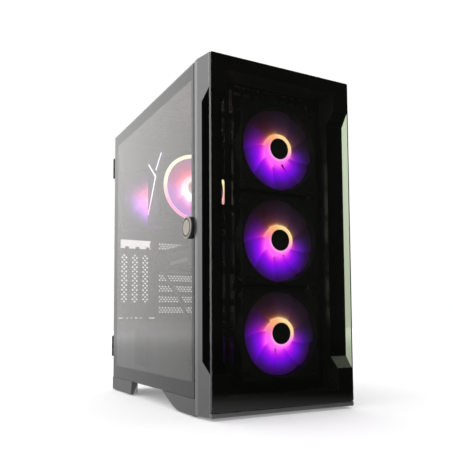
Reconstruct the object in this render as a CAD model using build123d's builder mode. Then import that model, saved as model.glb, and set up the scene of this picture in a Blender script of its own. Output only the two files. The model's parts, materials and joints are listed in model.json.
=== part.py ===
from build123d import *
import os
from math import radians, sqrt, tan

# Desktop computer tower, millimetres. X runs to the right as the tower is seen from the front,
# Y from the front glass to the rear, Z up. The origin is on the floor under the middle of the case.

# ---- driving dimensions ----
CASE_W = 231.4          # over the glass door and the right steel panel
CASE_D = 394.0          # front glass to the rear edge of the side panels
CASE_H = 465.0          # floor to top
FRONT_Y = -200.0        # outer face of the front glass
SHEET = 1.0             # steel sheet
GLASS_T = 4.0           # glass of the door
FRONT_GLASS_T = 5.0
FRONT_GLASS_W = 221.4   # the front narrows from the case width to this
BEZEL_D = 38.5
BEZEL_BOTTOM = 3.0
TAPER_END = 30.0        # depth at which the bezel reaches full width
PANEL_BOTTOM = 22.8     # lower edge of door, right panel and chassis floor
PANEL_FRONT = 40.8      # front edge of door and right panel, clear of the bezel
DECK_Z = 460.0          # underside of the chassis top sheet
REAR_DEPTH = 389.5      # inner face of the rear sheet
FRONT_WALL_DEPTH = 38.9
CHASSIS_LEFT = -109.3
CHASSIS_RIGHT = 112.0
SHROUD_TOP = 122.0
TRAY_X = 86.0           # component-side face of the motherboard tray
BOARD_X = 79.4          # component-side face of the motherboard

FAN_SIZE = 120.0
FAN_T = 25.0
FAN_BORE_R = 57.5
FAN_HUB_R = 20.0
FAN_TIP_R = 55.6
FAN_BLADES = 9
FAN_CHORD = 21.3
FAN_HOLE_PITCH = 105.0
BEARING_R = 1.56
SHAFT_R = 1.5
FRONT_FAN_Z = (105.1, 230.8, 356.4)
FRONT_FAN_DEPTH = 13.9
REAR_FAN_X = -47.5
REAR_FAN_Z = 350.0
COOLER_Z = 359.0
CPU_FAN_DEPTH = 282.0

SLOT_PITCH = 20.32      # expansion slots
TOP_SLOT_Z = 266.0
SLOT_COUNT = 7
CARD_SLOTS = (1, 2)     # filled by the graphics card
UPRIGHT_SLOT_X = (-94.2, -73.9, -53.6)
UPRIGHT_SLOT_Z = (152.5, 252.5)

CLIP_PLACES = [(x, z) for x in (-100.5, 100.5) for z in (28.0, 438.0)]
NOTCH_REAR = 20.5       # depth at which the side intakes of the bezel end
NOTCH_Z = (71.5, 404.8)

SOCKET_ROW = 58.0       # depth of the buttons and sockets on the top
POWER_BUTTON_X = -72.0
RESET_BUTTON_X = -50.0
USB_X = (-24.0, 0.0)
USB_C_X = 20.0
JACK_X = (40.0, 56.0)
JACK_R = 1.8
JACK_LENGTH = 14.0
SWITCH_TOP = 452.0      # plungers of the push switches
BUTTON_TRAVEL = 2.0

PAD_T = 1.2             # rubber under the feet
FRONT_FOOT_W = 26.0
REAR_FOOT_W = 21.0

BORDER_FILM = 0.5       # opaque band inside the door glass
KNOB_DEPTH = 54.0
KNOB_Z = 245.3
KNOB_R = 14.7
KNOB_REACH = 5.2
HINGE_Z = (78.0, 407.5)
HINGE_HALF = 18.0
HINGE_AXIS_X = -113.5
HINGE_AXIS_DEPTH = 396.5
HINGE_R = 3.6
PIN_R = 1.6
SCREW_PLACES = [(108.0, 80.0), (108.0, 420.0)]

FILTER_WINDOW_X = (-52.0, 1.5, 55.0)
FILTER_WINDOW_D = ((91.0, 231.0), (237.0, 377.0))
FILTER_WINDOW_HALF = 25.6

COOLER_FRONT = 307.5
COOLER_BACK = 357.5
BOARD_SCREWS = [(d, z) for d in (150, 225, 378) for z in (145, 281, 434)]
MEMORY_DEPTHS = (205.0, 214.5, 224.0, 233.5)

CARD_LEFT = -31.0       # edge of the graphics card that faces the door
CARD_FRONT = 150.0
CARD_FAN_X = 18.5
CARD_FAN_DEPTHS = (205.0, 300.0)
CARD_FAN_R = 40.0
CARD_Z = 240.0

PSU_X = (-52.0, 98.0)
PSU_FRONT = 249.0
PSU_Z = (26.0, 112.0)
PSU_FAN = (23.0, 318.0)
PSU_OPENING = (23.0, 68.0)
INLET_X = -26.0
INLET_Z = 90.0
SWITCH_X = 6.0
ROCKER_PIVOT = 389.0

CAGE_X = (-60.0, 82.0)
CAGE_D = (92.0, 206.0)
TRAY_FLOORS = (PANEL_BOTTOM + SHEET, 67.0)
GROMMET_D = 100.0
GROMMET_Z = (170.0, 245.0, 320.0, 395.0)

# routes of the cables as (x, depth, z)
BOARD_CABLE_RISES = (0, 11, 22, 33)
BOARD_CABLES = [
    [(65.6, 151.5, 330 + rise), (50, 151, 329.6 + rise), (38, 141, 325 + rise),
     (40, 121, 319 + rise * 0.8), (56, 106, 313 + rise * 0.7), (83.6, 100, 310 + rise * 0.6)]
    for rise in BOARD_CABLE_RISES]
CARD_CABLE = [
    (-36, 332, 232), (-43, 326, 226), (-46, 306, 204), (-46, 280, 184), (-44, 254, 166),
    (-42, 234, 146), (-41, 226, 120), (-34, 225, 96), (-12, 226, 80), (28, 230, 75),
    (56, 240, 75), (66, 256, 75)]
BOARD_CABLE_R = 4.2
CARD_CABLE_R = 3.0

HALF_W = CASE_W / 2
HALF_FRONT = FRONT_GLASS_W / 2
DOOR_INNER_X = -HALF_W + GLASS_T


def depth(distance):
    """Y of a point this far behind the outer face of the front glass."""
    return FRONT_Y + distance


def facing_front(distance):
    """Sketch plane at that depth: local X is X, local Y is Z, extruding goes forward."""
    return Plane.XZ.offset(-depth(distance))


def block(x, d, z, mode=Mode.ADD):
    """Box between two X values, two depths and two heights, joined to the part in hand."""
    with Locations(((x[0] + x[1]) / 2, depth((d[0] + d[1]) / 2), (z[0] + z[1]) / 2)):
        Box(x[1] - x[0], d[1] - d[0], z[1] - z[0], mode=mode)


def welded(*parts):
    """Sheets that meet face to face, each one kept as a solid of its own."""
    return Compound([solid for part in parts for solid in part.solids()])


def shared_positions(first, last, count):
    """Evenly spaced values from first to last."""
    return [first + (last - first) * i / (count - 1) for i in range(count)]


# ---- front panel: bezel and glass ----
def make_front_bezel():
    lip_top = 9.3
    bar_top, bar_bottom = 446.0, 26.0
    opening_x = 86.0
    slope = NOTCH_REAR - FRONT_GLASS_T
    with BuildPart() as bezel:
        with BuildSketch(Plane.XY.offset(BEZEL_BOTTOM)):
            with BuildLine():
                Polyline(
                    (-HALF_FRONT, depth(FRONT_GLASS_T)), (-HALF_FRONT, depth(7)),
                    (-HALF_W, depth(TAPER_END)), (-HALF_W, depth(BEZEL_D)),
                    (HALF_W, depth(BEZEL_D)), (HALF_W, depth(TAPER_END)),
                    (HALF_FRONT, depth(7)), (HALF_FRONT, depth(FRONT_GLASS_T)), close=True)
            make_face()
        extrude(amount=CASE_H - BEZEL_BOTTOM)
        # lower lip, flush with the glass above it
        block((-HALF_FRONT, HALF_FRONT), (0.6, FRONT_GLASS_T), (BEZEL_BOTTOM, lip_top))
        chamfer(bezel.edges().filter_by(Axis.X).group_by(Axis.Y)[0], length=0.8)
        block((-opening_x, opening_x), (0, BEZEL_D), (bar_bottom, bar_top), mode=Mode.SUBTRACT)
        # slanted air intake through each side, behind the glass
        with BuildSketch(Plane.YZ.offset(-HALF_W - 1)):
            with BuildLine():
                Polyline(
                    (depth(FRONT_GLASS_T), NOTCH_Z[0] - slope), (depth(NOTCH_REAR), NOTCH_Z[0]),
                    (depth(NOTCH_REAR), NOTCH_Z[1]), (depth(FRONT_GLASS_T), NOTCH_Z[1] + slope),
                    close=True)
            make_face()
        extrude(amount=CASE_W + 2, mode=Mode.SUBTRACT)
        # pockets in the back of the posts and bars leave ribs between them
        for side in (-1, 1):
            pocket = sorted((side * 89.0, side * 112.5))
            for z in shared_positions(55, 417, 7):
                block(pocket, (24, BEZEL_D), (z - 26, z + 26), mode=Mode.SUBTRACT)
        for x in shared_positions(-75, 75, 4):
            block((x - 22, x + 22), (9, BEZEL_D), (449, 461.5), mode=Mode.SUBTRACT)
            block((x - 22, x + 22), (9, BEZEL_D), (6.5, 23), mode=Mode.SUBTRACT)
        # round snap studs that hold the panel on the case
        with BuildSketch(facing_front(BEZEL_D)):
            with Locations(*CLIP_PLACES):
                Circle(2.4)
        extrude(amount=-6)
        with BuildSketch(facing_front(42.5)):
            with Locations(*CLIP_PLACES):
                Circle(3.1)
        extrude(amount=-2, taper=22)
    return bezel


def make_front_glass():
    with BuildPart() as glass:
        block((-HALF_FRONT, HALF_FRONT), (0, FRONT_GLASS_T), (9.7, CASE_H - 0.6))
        fillet(glass.edges().filter_by(Axis.Y), radius=2.0)
        chamfer(glass.faces().sort_by(Axis.Y)[0].edges(), length=0.5)
    return glass


# ---- chassis sheets ----
def make_chassis_base():
    """Floor sheet, its upright edges, and the rails of the lower dust filter."""
    rails_x = (-34.0, 84.0)
    with BuildPart() as floor:
        block((CHASSIS_LEFT, CHASSIS_RIGHT), (FRONT_WALL_DEPTH, REAR_DEPTH),
              (PANEL_BOTTOM, PANEL_BOTTOM + SHEET))
        # air intake under the power supply
        with BuildSketch(Plane.XY.offset(PANEL_BOTTOM)):
            with Locations((25, depth(320))):
                with GridLocations(18, 9, 5, 12):
                    SlotOverall(14, 5)
        extrude(amount=SHEET, mode=Mode.SUBTRACT)
    with BuildPart() as edges:
        for x in (CHASSIS_LEFT, CHASSIS_RIGHT - SHEET):
            block((x, x + SHEET), (FRONT_WALL_DEPTH + SHEET, REAR_DEPTH), (PANEL_BOTTOM + SHEET, 36))
    with BuildPart() as rails:
        for x, lip in ((rails_x[0], 3), (rails_x[1], -3)):
            web = sorted((x, x - lip / 3))
            foot = sorted((x - lip / 3, x + lip))
            block(web, (236, 388), (17.4, PANEL_BOTTOM))
            block(foot, (236, 388), (16.4, 17.4))
    return welded(floor, edges, rails)


def make_rear_panel():
    with BuildPart() as panel:
        block((CHASSIS_LEFT, CHASSIS_RIGHT), (REAR_DEPTH, REAR_DEPTH + SHEET), (PANEL_BOTTOM, DECK_Z))
        with BuildSketch(facing_front(REAR_DEPTH + SHEET)):
            # opening for the board's sockets
            with Locations((59.5, 363)):
                Rectangle(41, 157)
            # expansion slots
            for index in range(SLOT_COUNT):
                with Locations((23.5, TOP_SLOT_Z - index * SLOT_PITCH)):
                    Rectangle(103, 13)
                    with Locations((-57, 6.3), (-57, -6.3)):
                        SlotOverall(5.5, 1.6)
            # upright slots, with the window for their screws above them
            low, high = UPRIGHT_SLOT_Z
            for x in UPRIGHT_SLOT_X:
                with Locations((x, (low + high) / 2)):
                    Rectangle(13, high - low)
            with Locations((-71.7, 266.6)):
                Rectangle(59, 16)
            # row of small locating slits above the power supply cover
            for x, length in ((-100, 8), (-88, 4), (-79, 3), (-70.5, 6), (-61, 3), (-40, 12)):
                with Locations((x, 129)):
                    SlotOverall(length, 1.8)
            # power supply opening
            with Locations(PSU_OPENING):
                Rectangle(142, 78)
                with GridLocations(138, 83, 2, 2):
                    Circle(1.8)
            # panel screw holes
            with Locations(*SCREW_PLACES):
                Circle(2.3)
            # honeycomb grille in front of the rear fan
            with Locations((REAR_FAN_X, REAR_FAN_Z)):
                with HexLocations(3.9, 17, 16):
                    RegularPolygon(3.4, 6)
        extrude(amount=SHEET, mode=Mode.SUBTRACT)
        # the grille is round: the sheet is whole outside it, apart from the fan's screw holes
        with BuildSketch(facing_front(REAR_DEPTH + SHEET)):
            with Locations((REAR_FAN_X, REAR_FAN_Z)):
                Rectangle(122, 130)
                Circle(55, mode=Mode.SUBTRACT)
        extrude(amount=SHEET)
        with BuildSketch(facing_front(REAR_DEPTH + SHEET)):
            with Locations((REAR_FAN_X, REAR_FAN_Z)):
                with GridLocations(FAN_HOLE_PITCH, FAN_HOLE_PITCH, 2, 2):
                    Circle(2.3)
        extrude(amount=SHEET, mode=Mode.SUBTRACT)
    with BuildPart() as flanges:
        block((CHASSIS_LEFT, CHASSIS_LEFT + SHEET), (378, REAR_DEPTH), (36.4, 445.6))
        block((CHASSIS_RIGHT - SHEET, CHASSIS_RIGHT), (372, REAR_DEPTH), (36.4, 445.6))
    return welded(panel, flanges)


def make_front_wall():
    with BuildPart() as wall:
        block((CHASSIS_LEFT, CHASSIS_RIGHT), (FRONT_WALL_DEPTH, FRONT_WALL_DEPTH + SHEET),
              (PANEL_BOTTOM + SHEET, DECK_Z))
        block((CHASSIS_LEFT, CHASSIS_LEFT + SHEET), (FRONT_WALL_DEPTH + SHEET, 52), (36.4, 445.6))
        with BuildSketch(facing_front(FRONT_WALL_DEPTH + SHEET)):
            for z in FRONT_FAN_Z:
                with Locations((0, z)):
                    Circle(56)
                    with GridLocations(FAN_HOLE_PITCH, FAN_HOLE_PITCH, 2, 2):
                        Circle(2.3)
            # columns of upright slots beside the fans
            for side in (-1, 1):
                for x in (62.5, 74.5):
                    with Locations((side * x, 252)):
                        with GridLocations(1, 42, 1, 9):
                            SlotOverall(34, 5, rotation=90)
            with Locations((0, 437)):
                with GridLocations(15, 10, 8, 2):
                    SlotOverall(11, 4.5)
            with Locations(*CLIP_PLACES):
                Circle(3.6)
        extrude(amount=SHEET, mode=Mode.SUBTRACT)
    return wall


def make_top_panel():
    with BuildPart() as top:
        block((CHASSIS_LEFT, CHASSIS_RIGHT), (FRONT_WALL_DEPTH, REAR_DEPTH + SHEET),
              (DECK_Z, DECK_Z + SHEET))
        for x in (CHASSIS_LEFT, CHASSIS_RIGHT - SHEET):
            block((x, x + SHEET), (FRONT_WALL_DEPTH + SHEET, REAR_DEPTH), (446, DECK_Z))
        with BuildSketch(Plane.XY.offset(DECK_Z)):
            # vent of staggered slots over the whole roof
            with Locations((0, depth(238))):
                with GridLocations(15, 14, 12, 17):
                    SlotOverall(11, 4)
            with Locations((7.5, depth(245))):
                with GridLocations(15, 14, 11, 16):
                    SlotOverall(11, 4)
            # cut-outs under the front sockets and buttons
            with Locations((-9, depth(58))):
                Rectangle(156, 22)
        extrude(amount=SHEET, mode=Mode.SUBTRACT)
    return top


def make_motherboard_tray():
    with BuildPart() as tray:
        block((TRAY_X, TRAY_X + SHEET), (60, REAR_DEPTH), (SHROUD_TOP, DECK_Z))
        with BuildSketch(Plane.YZ.offset(TRAY_X)):
            # window behind the processor
            with Locations((depth(320), COOLER_Z)):
                RectangleRounded(120, 100, 6)
            # cable openings beside and above the board
            for z in GROMMET_Z:
                with Locations((depth(GROMMET_D), z)):
                    RectangleRounded(26, 52, 6)
            for d in (180, 250, 330):
                with Locations((depth(d), 451)):
                    RectangleRounded(40, 9, 3)
        extrude(amount=SHEET, mode=Mode.SUBTRACT)
    return tray


def make_grommets():
    with BuildPart() as grommets:
        with BuildSketch(Plane.YZ.offset(TRAY_X - 1.5)):
            for z in GROMMET_Z:
                with Locations((depth(GROMMET_D), z)):
                    RectangleRounded(32, 58, 8)
                    RectangleRounded(18, 44, 3, mode=Mode.SUBTRACT)
        extrude(amount=1.5)
        with BuildSketch(Plane.YZ.offset(TRAY_X - 1.5)):
            for z in GROMMET_Z:
                with Locations((depth(GROMMET_D), z)):
                    RectangleRounded(26, 52, 6)
                    for leaf in (-1, 1):
                        with Locations((leaf * 4.6, 0)):
                            Rectangle(8.4, 43, mode=Mode.SUBTRACT)
        extrude(amount=1.5 + SHEET)
        with BuildSketch(Plane.YZ.offset(TRAY_X - 0.8)):
            for z in GROMMET_Z:
                for leaf in (-1, 1):
                    with Locations((depth(GROMMET_D) + leaf * 4.6, z)):
                        Rectangle(8.6, 43.4)
        extrude(amount=0.9)
    return grommets


def make_psu_shroud():
    left = (-108.0, -107.0)
    with BuildPart() as shroud:
        block((left[0], CHASSIS_RIGHT - SHEET), (66, REAR_DEPTH), (SHROUD_TOP - SHEET, SHROUD_TOP))
        block(left, (66, REAR_DEPTH), (PANEL_BOTTOM + SHEET, SHROUD_TOP - SHEET))
        # window in the side
        with BuildSketch(Plane.YZ.offset(left[0])):
            with Locations((depth(247), 79)):
                RectangleRounded(79, 58, 3)
        extrude(amount=SHEET, mode=Mode.SUBTRACT)
        # vents and cable openings in the top
        with BuildSketch(Plane.XY.offset(SHROUD_TOP - SHEET)):
            with Locations((10, depth(320))):
                with GridLocations(17, 9, 8, 11):
                    SlotOverall(13, 4.5)
            with Locations((40, depth(110)), (-40, depth(224))):
                RectangleRounded(50, 26, 4)
        extrude(amount=SHEET, mode=Mode.SUBTRACT)
    return shroud


def make_top_trim():
    with BuildPart() as trim:
        block((-110.8, 114.2), (FRONT_WALL_DEPTH, CASE_D), (DECK_Z + SHEET, CASE_H))
        block((-105, 108), (84, 384), (DECK_Z + SHEET, CASE_H), mode=Mode.SUBTRACT)
        with BuildSketch(Plane.XY.offset(DECK_Z + SHEET)):
            with Locations((POWER_BUTTON_X, depth(SOCKET_ROW))):
                Circle(8.4)
            with Locations((RESET_BUTTON_X, depth(SOCKET_ROW))):
                Circle(4.4)
            with Locations((USB_X[0], depth(SOCKET_ROW)), (USB_X[1], depth(SOCKET_ROW))):
                Rectangle(14.4, 6.8)
            with Locations((USB_C_X, depth(SOCKET_ROW))):
                SlotOverall(10.2, 4.6)
            with Locations(*[(x, depth(SOCKET_ROW)) for x in JACK_X]):
                Circle(3.6)
        extrude(amount=CASE_H - DECK_Z, mode=Mode.SUBTRACT)
        chamfer(trim.faces().sort_by(Axis.Z)[-1].edges().filter_by(Axis.Y).group_by(Axis.X)[0], length=0.6)
    return trim


# ---- sockets and buttons on the top ----
def make_front_sockets():
    with BuildPart() as sockets:
        # USB shells, each with its tongue
        for x in USB_X:
            for half_x, near, far, z, mode in (
                    (7.2, -3.4, 3.4, (446.5, CASE_H - 0.2), Mode.ADD),
                    (6.6, -2.8, 2.8, (448, CASE_H), Mode.SUBTRACT),
                    (5.8, -0.2, 1.8, (447, CASE_H - 2), Mode.ADD)):
                block((x - half_x, x + half_x), (SOCKET_ROW + near, SOCKET_ROW + far), z, mode=mode)
        with BuildSketch(Plane.XY.offset(448)):
            with Locations((USB_C_X, depth(SOCKET_ROW))):
                SlotOverall(10.2, 4.6)
        extrude(amount=CASE_H - 0.2 - 448)
        with BuildSketch(Plane.XY.offset(452)):
            with Locations((USB_C_X, depth(SOCKET_ROW))):
                SlotOverall(9, 3.2)
                Rectangle(6.8, 0.8, mode=Mode.SUBTRACT)
        extrude(amount=14, mode=Mode.SUBTRACT)
        # audio sockets
        with BuildSketch(Plane.XY.offset(CASE_H - JACK_LENGTH - 1.2)):
            with Locations(*[(x, depth(SOCKET_ROW)) for x in JACK_X]):
                Circle(3.6)
        extrude(amount=JACK_LENGTH + 1)
        with BuildSketch(Plane.XY.offset(CASE_H - JACK_LENGTH - 0.2)):
            with Locations(*[(x, depth(SOCKET_ROW)) for x in JACK_X]):
                Circle(JACK_R)
        extrude(amount=JACK_LENGTH, mode=Mode.SUBTRACT)
    return sockets


def make_socket_board():
    """Small circuit board that carries the top sockets and the two switches."""
    with BuildPart() as board:
        block((-94, 76), (50, 66), (444.5, 446))
        # switch bodies with their plungers, under the buttons
        for x, half in ((POWER_BUTTON_X, 4.0), (RESET_BUTTON_X, 3.0)):
            block((x - half, x + half), (SOCKET_ROW - half, SOCKET_ROW + half), (446, SWITCH_TOP))
        # posts under the shorter sockets
        block((USB_X[0] - 6, USB_X[1] + 6), (55, 61), (446, 446.5))
        block((USB_C_X - 4, USB_C_X + 4), (56, 60), (446, 448))
        for x in JACK_X:
            block((x - 3, x + 3), (55, 61), (446, CASE_H - JACK_LENGTH - 1.2))
        for x in (-91, 73):
            block((x - 3, x + 3), (50, 66), (446, DECK_Z))
    return board


def make_button(x, radius):
    """Round push button: cap in the trim on a slimmer stem over its switch."""
    stem_end = SWITCH_TOP + BUTTON_TRAVEL
    cap_under = DECK_Z + SHEET + 0.6
    crown = CASE_H + 0.4
    with BuildPart() as button:
        with BuildSketch(Plane.XY.offset(stem_end)):
            with Locations((x, depth(SOCKET_ROW))):
                Circle(radius - 1.2)
        extrude(amount=crown - stem_end)
        with BuildSketch(Plane.XY.offset(cap_under)):
            with Locations((x, depth(SOCKET_ROW))):
                Circle(radius)
        extrude(amount=crown - cap_under)
        fillet(button.faces().sort_by(Axis.Z)[-1].edges(), radius=0.7)
    return button


# ---- slot covers ----
def diamond_rows(x, z, pitch_x, pitch_z, columns, rows, across):
    """Grid of small diamond holes, in the sketch in hand."""
    side = across / sqrt(2)
    with Locations((x, z)):
        with GridLocations(pitch_x, pitch_z, columns, rows):
            Rectangle(side, side, rotation=45)


def make_slot_covers():
    """Perforated covers of the free slots: level ones in a stack, and three upright ones."""
    low, high = UPRIGHT_SLOT_Z
    free = [TOP_SLOT_Z - i * SLOT_PITCH for i in range(SLOT_COUNT) if i not in CARD_SLOTS]
    with BuildPart() as covers:
        for z in free:
            block((-38, 76), (REAR_DEPTH - 1, REAR_DEPTH), (z - 8.5, z + 8.5))
            block((-44.2, -38), (REAR_DEPTH - 1, REAR_DEPTH), (z - 5, z + 5))
        for x in UPRIGHT_SLOT_X:
            block((x - 8.6, x + 8.6), (REAR_DEPTH - 1, REAR_DEPTH), (low - 5, high + 4))
            block((x + 1.5, x + 8.6), (REAR_DEPTH - 1, REAR_DEPTH), (high + 4, high + 9.5))
        with BuildSketch(facing_front(REAR_DEPTH)):
            for z in free:
                diamond_rows(23.5, z, 6.0, 8.2, 17, 2, 4.0)
                diamond_rows(23.5, z, 6.0, 1, 16, 1, 4.0)
                with Locations((-41.2, z)):
                    Circle(1.5)
            for x in UPRIGHT_SLOT_X:
                diamond_rows(x, (low + high) / 2, 7.8, 8.6, 2, 10, 4.6)
                diamond_rows(x, (low + high) / 2, 1, 8.6, 1, 11, 4.6)
        extrude(amount=1, mode=Mode.SUBTRACT)
    return covers


# ---- feet ----
def make_case_feet():
    """Front feet with a curved rear end, and narrower rear feet with a slanted front end."""
    with BuildPart() as feet:
        for x in (-HALF_W, HALF_W - FRONT_FOOT_W):
            with BuildSketch(Plane.YZ.offset(x)):
                with BuildLine():
                    Line((depth(FRONT_WALL_DEPTH), PANEL_BOTTOM), (depth(FRONT_WALL_DEPTH), PAD_T))
                    flat = Line((depth(FRONT_WALL_DEPTH), PAD_T), (depth(84), PAD_T))
                    bend = TangentArc(flat @ 1, (depth(118), 8.5), tangent=flat % 1)
                    Line(bend @ 1, (depth(151), PANEL_BOTTOM))
                    Line((depth(151), PANEL_BOTTOM), (depth(FRONT_WALL_DEPTH), PANEL_BOTTOM))
                make_face()
            extrude(amount=FRONT_FOOT_W)
        for side in (-1, 1):
            outer, inner = side * HALF_W, side * (HALF_W - REAR_FOOT_W)
            with BuildSketch(Plane.XY.offset(PANEL_BOTTOM)):
                with BuildLine():
                    Polyline((outer, depth(287)), (outer, depth(CASE_D)), (inner, depth(CASE_D)),
                             (inner, depth(316)), (inner + side * 9, depth(287)), close=True)
                make_face()
            with BuildSketch(Plane.XY.offset(PAD_T)):
                with BuildLine():
                    Polyline((outer, depth(292)), (outer, depth(CASE_D)), (inner, depth(CASE_D)),
                             (inner, depth(318)), (outer - side * 4, depth(292)), close=True)
                make_face()
            loft(ruled=True)
    return feet


def make_foot_pads():
    with BuildPart() as pads:
        with BuildSketch(Plane.XY):
            with Locations((0, depth(61))):
                with GridLocations(CASE_W - 26, 1, 2, 1):
                    RectangleRounded(18, 34, 4)
            with Locations((0, depth(356))):
                with GridLocations(CASE_W - 22, 1, 2, 1):
                    RectangleRounded(14, 50, 4)
        extrude(amount=PAD_T)
    return pads


# ---- glass door ----
def make_door_glass():
    with BuildPart() as glass:
        block((-HALF_W, DOOR_INNER_X), (PANEL_FRONT, 391.0), (PANEL_BOTTOM, CASE_H - 0.1))
        fillet(glass.edges().filter_by(Axis.X), radius=2.0)
        chamfer(glass.faces().sort_by(Axis.X)[0].edges(), length=0.4)
        with BuildSketch(Plane.YZ.offset(-HALF_W)):
            with Locations((depth(KNOB_DEPTH), KNOB_Z)):
                Circle(4.2)
        extrude(amount=GLASS_T, mode=Mode.SUBTRACT)
    return glass


def make_door_border():
    """Opaque band bonded to the inner face of the door glass, all round."""
    film = (DOOR_INNER_X, DOOR_INNER_X + BORDER_FILM)
    with BuildPart() as border:
        block(film, (PANEL_FRONT + 0.3, 390.7), (PANEL_BOTTOM + 0.3, CASE_H - 0.4))
        block(film, (51.0, 374.5), (43.6, 445.0), mode=Mode.SUBTRACT)
        with BuildSketch(Plane.YZ.offset(DOOR_INNER_X)):
            with Locations((depth(KNOB_DEPTH), KNOB_Z)):
                Circle(11)
        extrude(amount=BORDER_FILM)
        with BuildSketch(Plane.YZ.offset(DOOR_INNER_X)):
            with Locations((depth(KNOB_DEPTH), KNOB_Z)):
                Circle(8.5)
        extrude(amount=BORDER_FILM, mode=Mode.SUBTRACT)
    return border


def make_door_knob():
    cap_z = KNOB_REACH
    centre = (-HALF_W, depth(KNOB_DEPTH), KNOB_Z)
    axis_plane = Plane(origin=centre, x_dir=(0, 1, 0), z_dir=(0, 0, 1))
    with BuildPart() as knob:
        # half profile: local X is the radius, local Y the reach out of the door
        with BuildSketch(axis_plane):
            with BuildLine():
                Polyline((2.0, -3.6), (4.0, -3.6), (4.0, 0), (KNOB_R, 0), (KNOB_R, cap_z - 0.8),
                         (KNOB_R - 0.8, cap_z), (12.4, cap_z), (12.0, cap_z - 1.2), (11.0, cap_z - 1.2),
                         (10.6, cap_z), (0, cap_z), (0, 1.0), (2.0, 1.0), close=True)
            make_face()
        revolve(axis=Axis(centre, (1, 0, 0)))
    return knob


def make_knob_screw():
    centre = (DOOR_INNER_X, depth(KNOB_DEPTH), KNOB_Z)
    axis_plane = Plane(origin=centre, x_dir=(0, 1, 0), z_dir=(0, 0, 1))
    with BuildPart() as screw:
        with BuildSketch(axis_plane):
            with BuildLine():
                Polyline((0, 4.2), (1.85, 4.2), (1.85, 0), (7.5, 0), (7.5, -1.0), (6.6, -1.9),
                         (2.4, -1.9), (2.4, -1.0), (0, -1.0), close=True)
            make_face()
        revolve(axis=Axis(centre, (1, 0, 0)))
    return screw


def make_door_hinge_leaves():
    """Leaf on the inner face of the glass, with the two outer knuckles of each hinge."""
    leaf_x = (DOOR_INNER_X + BORDER_FILM, -109.9)
    knuckle = 11.5
    with BuildPart() as leaves:
        for z in HINGE_Z:
            block(leaf_x, (366, 391.2), (z - HINGE_HALF, z + HINGE_HALF))
            for end in (-1, 1):
                span = sorted((z + end * HINGE_HALF, z + end * (HINGE_HALF - knuckle)))
                block(leaf_x, (391.2, HINGE_AXIS_DEPTH), span)
                with BuildSketch(Plane.XY.offset(span[0])):
                    with Locations((HINGE_AXIS_X, depth(HINGE_AXIS_DEPTH))):
                        Circle(HINGE_R)
                extrude(amount=knuckle)
        with BuildSketch(Plane.XY):
            with Locations((HINGE_AXIS_X, depth(HINGE_AXIS_DEPTH))):
                Circle(PIN_R + 0.05)
        extrude(amount=CASE_H, mode=Mode.SUBTRACT)
    return leaves


def make_case_hinge_leaves():
    """Middle knuckle of each hinge, on an arm that is riveted to the rear sheet."""
    half = 6.2
    arm = (-102.5, -101.0)
    back = REAR_DEPTH + SHEET
    with BuildPart() as leaves:
        for z in HINGE_Z:
            span = (z - half, z + half)
            with BuildSketch(Plane.XY.offset(span[0])):
                with Locations((HINGE_AXIS_X, depth(HINGE_AXIS_DEPTH))):
                    Circle(HINGE_R)
                    Circle(PIN_R, mode=Mode.SUBTRACT)
            extrude(amount=2 * half)
            # the arm and its plate stay above the fan's screw head
            raised = (z - 1, z + half)
            block((HINGE_AXIS_X + 2.4, arm[1]), (HINGE_AXIS_DEPTH + 1.2, HINGE_AXIS_DEPTH + 2.6), raised)
            block(arm, (back + 1.5, HINGE_AXIS_DEPTH + 1.2), raised)
            block((-104.5, -84), (back, back + 1.5), (z - 1, z + 18))
    return leaves


def make_hinge_pins():
    with BuildPart() as pins:
        for z in HINGE_Z:
            with BuildSketch(Plane.XY.offset(z - HINGE_HALF - 0.6)):
                with Locations((HINGE_AXIS_X, depth(HINGE_AXIS_DEPTH))):
                    Circle(PIN_R)
            extrude(amount=2 * HINGE_HALF + 1.2)
            with BuildSketch(Plane.XY.offset(z + HINGE_HALF + 0.6)):
                with Locations((HINGE_AXIS_X, depth(HINGE_AXIS_DEPTH))):
                    Circle(PIN_R + 1)
            extrude(amount=1.2)
    return pins


# ---- right panel ----
def make_right_panel():
    """Flat sheet with a rear flange for the thumbscrews and a narrow lower flange."""
    inner = HALF_W - SHEET
    with BuildPart() as sheet:
        block((inner, HALF_W), (PANEL_FRONT, CASE_D), (PANEL_BOTTOM, CASE_H - 0.1))
    with BuildPart() as flanges:
        block((103, inner), (CASE_D - SHEET, CASE_D), (40, 450))
        with BuildSketch(facing_front(CASE_D)):
            with Locations(*SCREW_PLACES):
                Circle(2.2)
        extrude(amount=SHEET, mode=Mode.SUBTRACT)
        block((112.6, inner), (PANEL_FRONT, CASE_D - SHEET), (PANEL_BOTTOM, PANEL_BOTTOM + SHEET))
    return welded(sheet, flanges)


def make_thumbscrews():
    with BuildPart() as screws:
        with BuildSketch(facing_front(CASE_D)):
            with Locations(*SCREW_PLACES):
                Circle(1.9)
        extrude(amount=7)
        with BuildSketch(facing_front(CASE_D + 7)):
            with Locations(*SCREW_PLACES):
                Circle(5.2)
                with PolarLocations(5.2, 16):
                    Circle(0.45, mode=Mode.SUBTRACT)
        extrude(amount=7)
        with BuildSketch(facing_front(CASE_D + 7)):
            with Locations(*SCREW_PLACES):
                Rectangle(7, 1.2)
        extrude(amount=1.2, mode=Mode.SUBTRACT)
    return screws


# ---- dust filters ----
def make_top_filter_frame():
    with BuildPart() as frame:
        block((-104.4, 107.4), (84.6, 383.4), (DECK_Z + SHEET, CASE_H - 0.6))
        for x in FILTER_WINDOW_X:
            for window in FILTER_WINDOW_D:
                block((x - FILTER_WINDOW_HALF, x + FILTER_WINDOW_HALF), window, (DECK_Z, CASE_H),
                      mode=Mode.SUBTRACT)
    return frame


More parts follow.
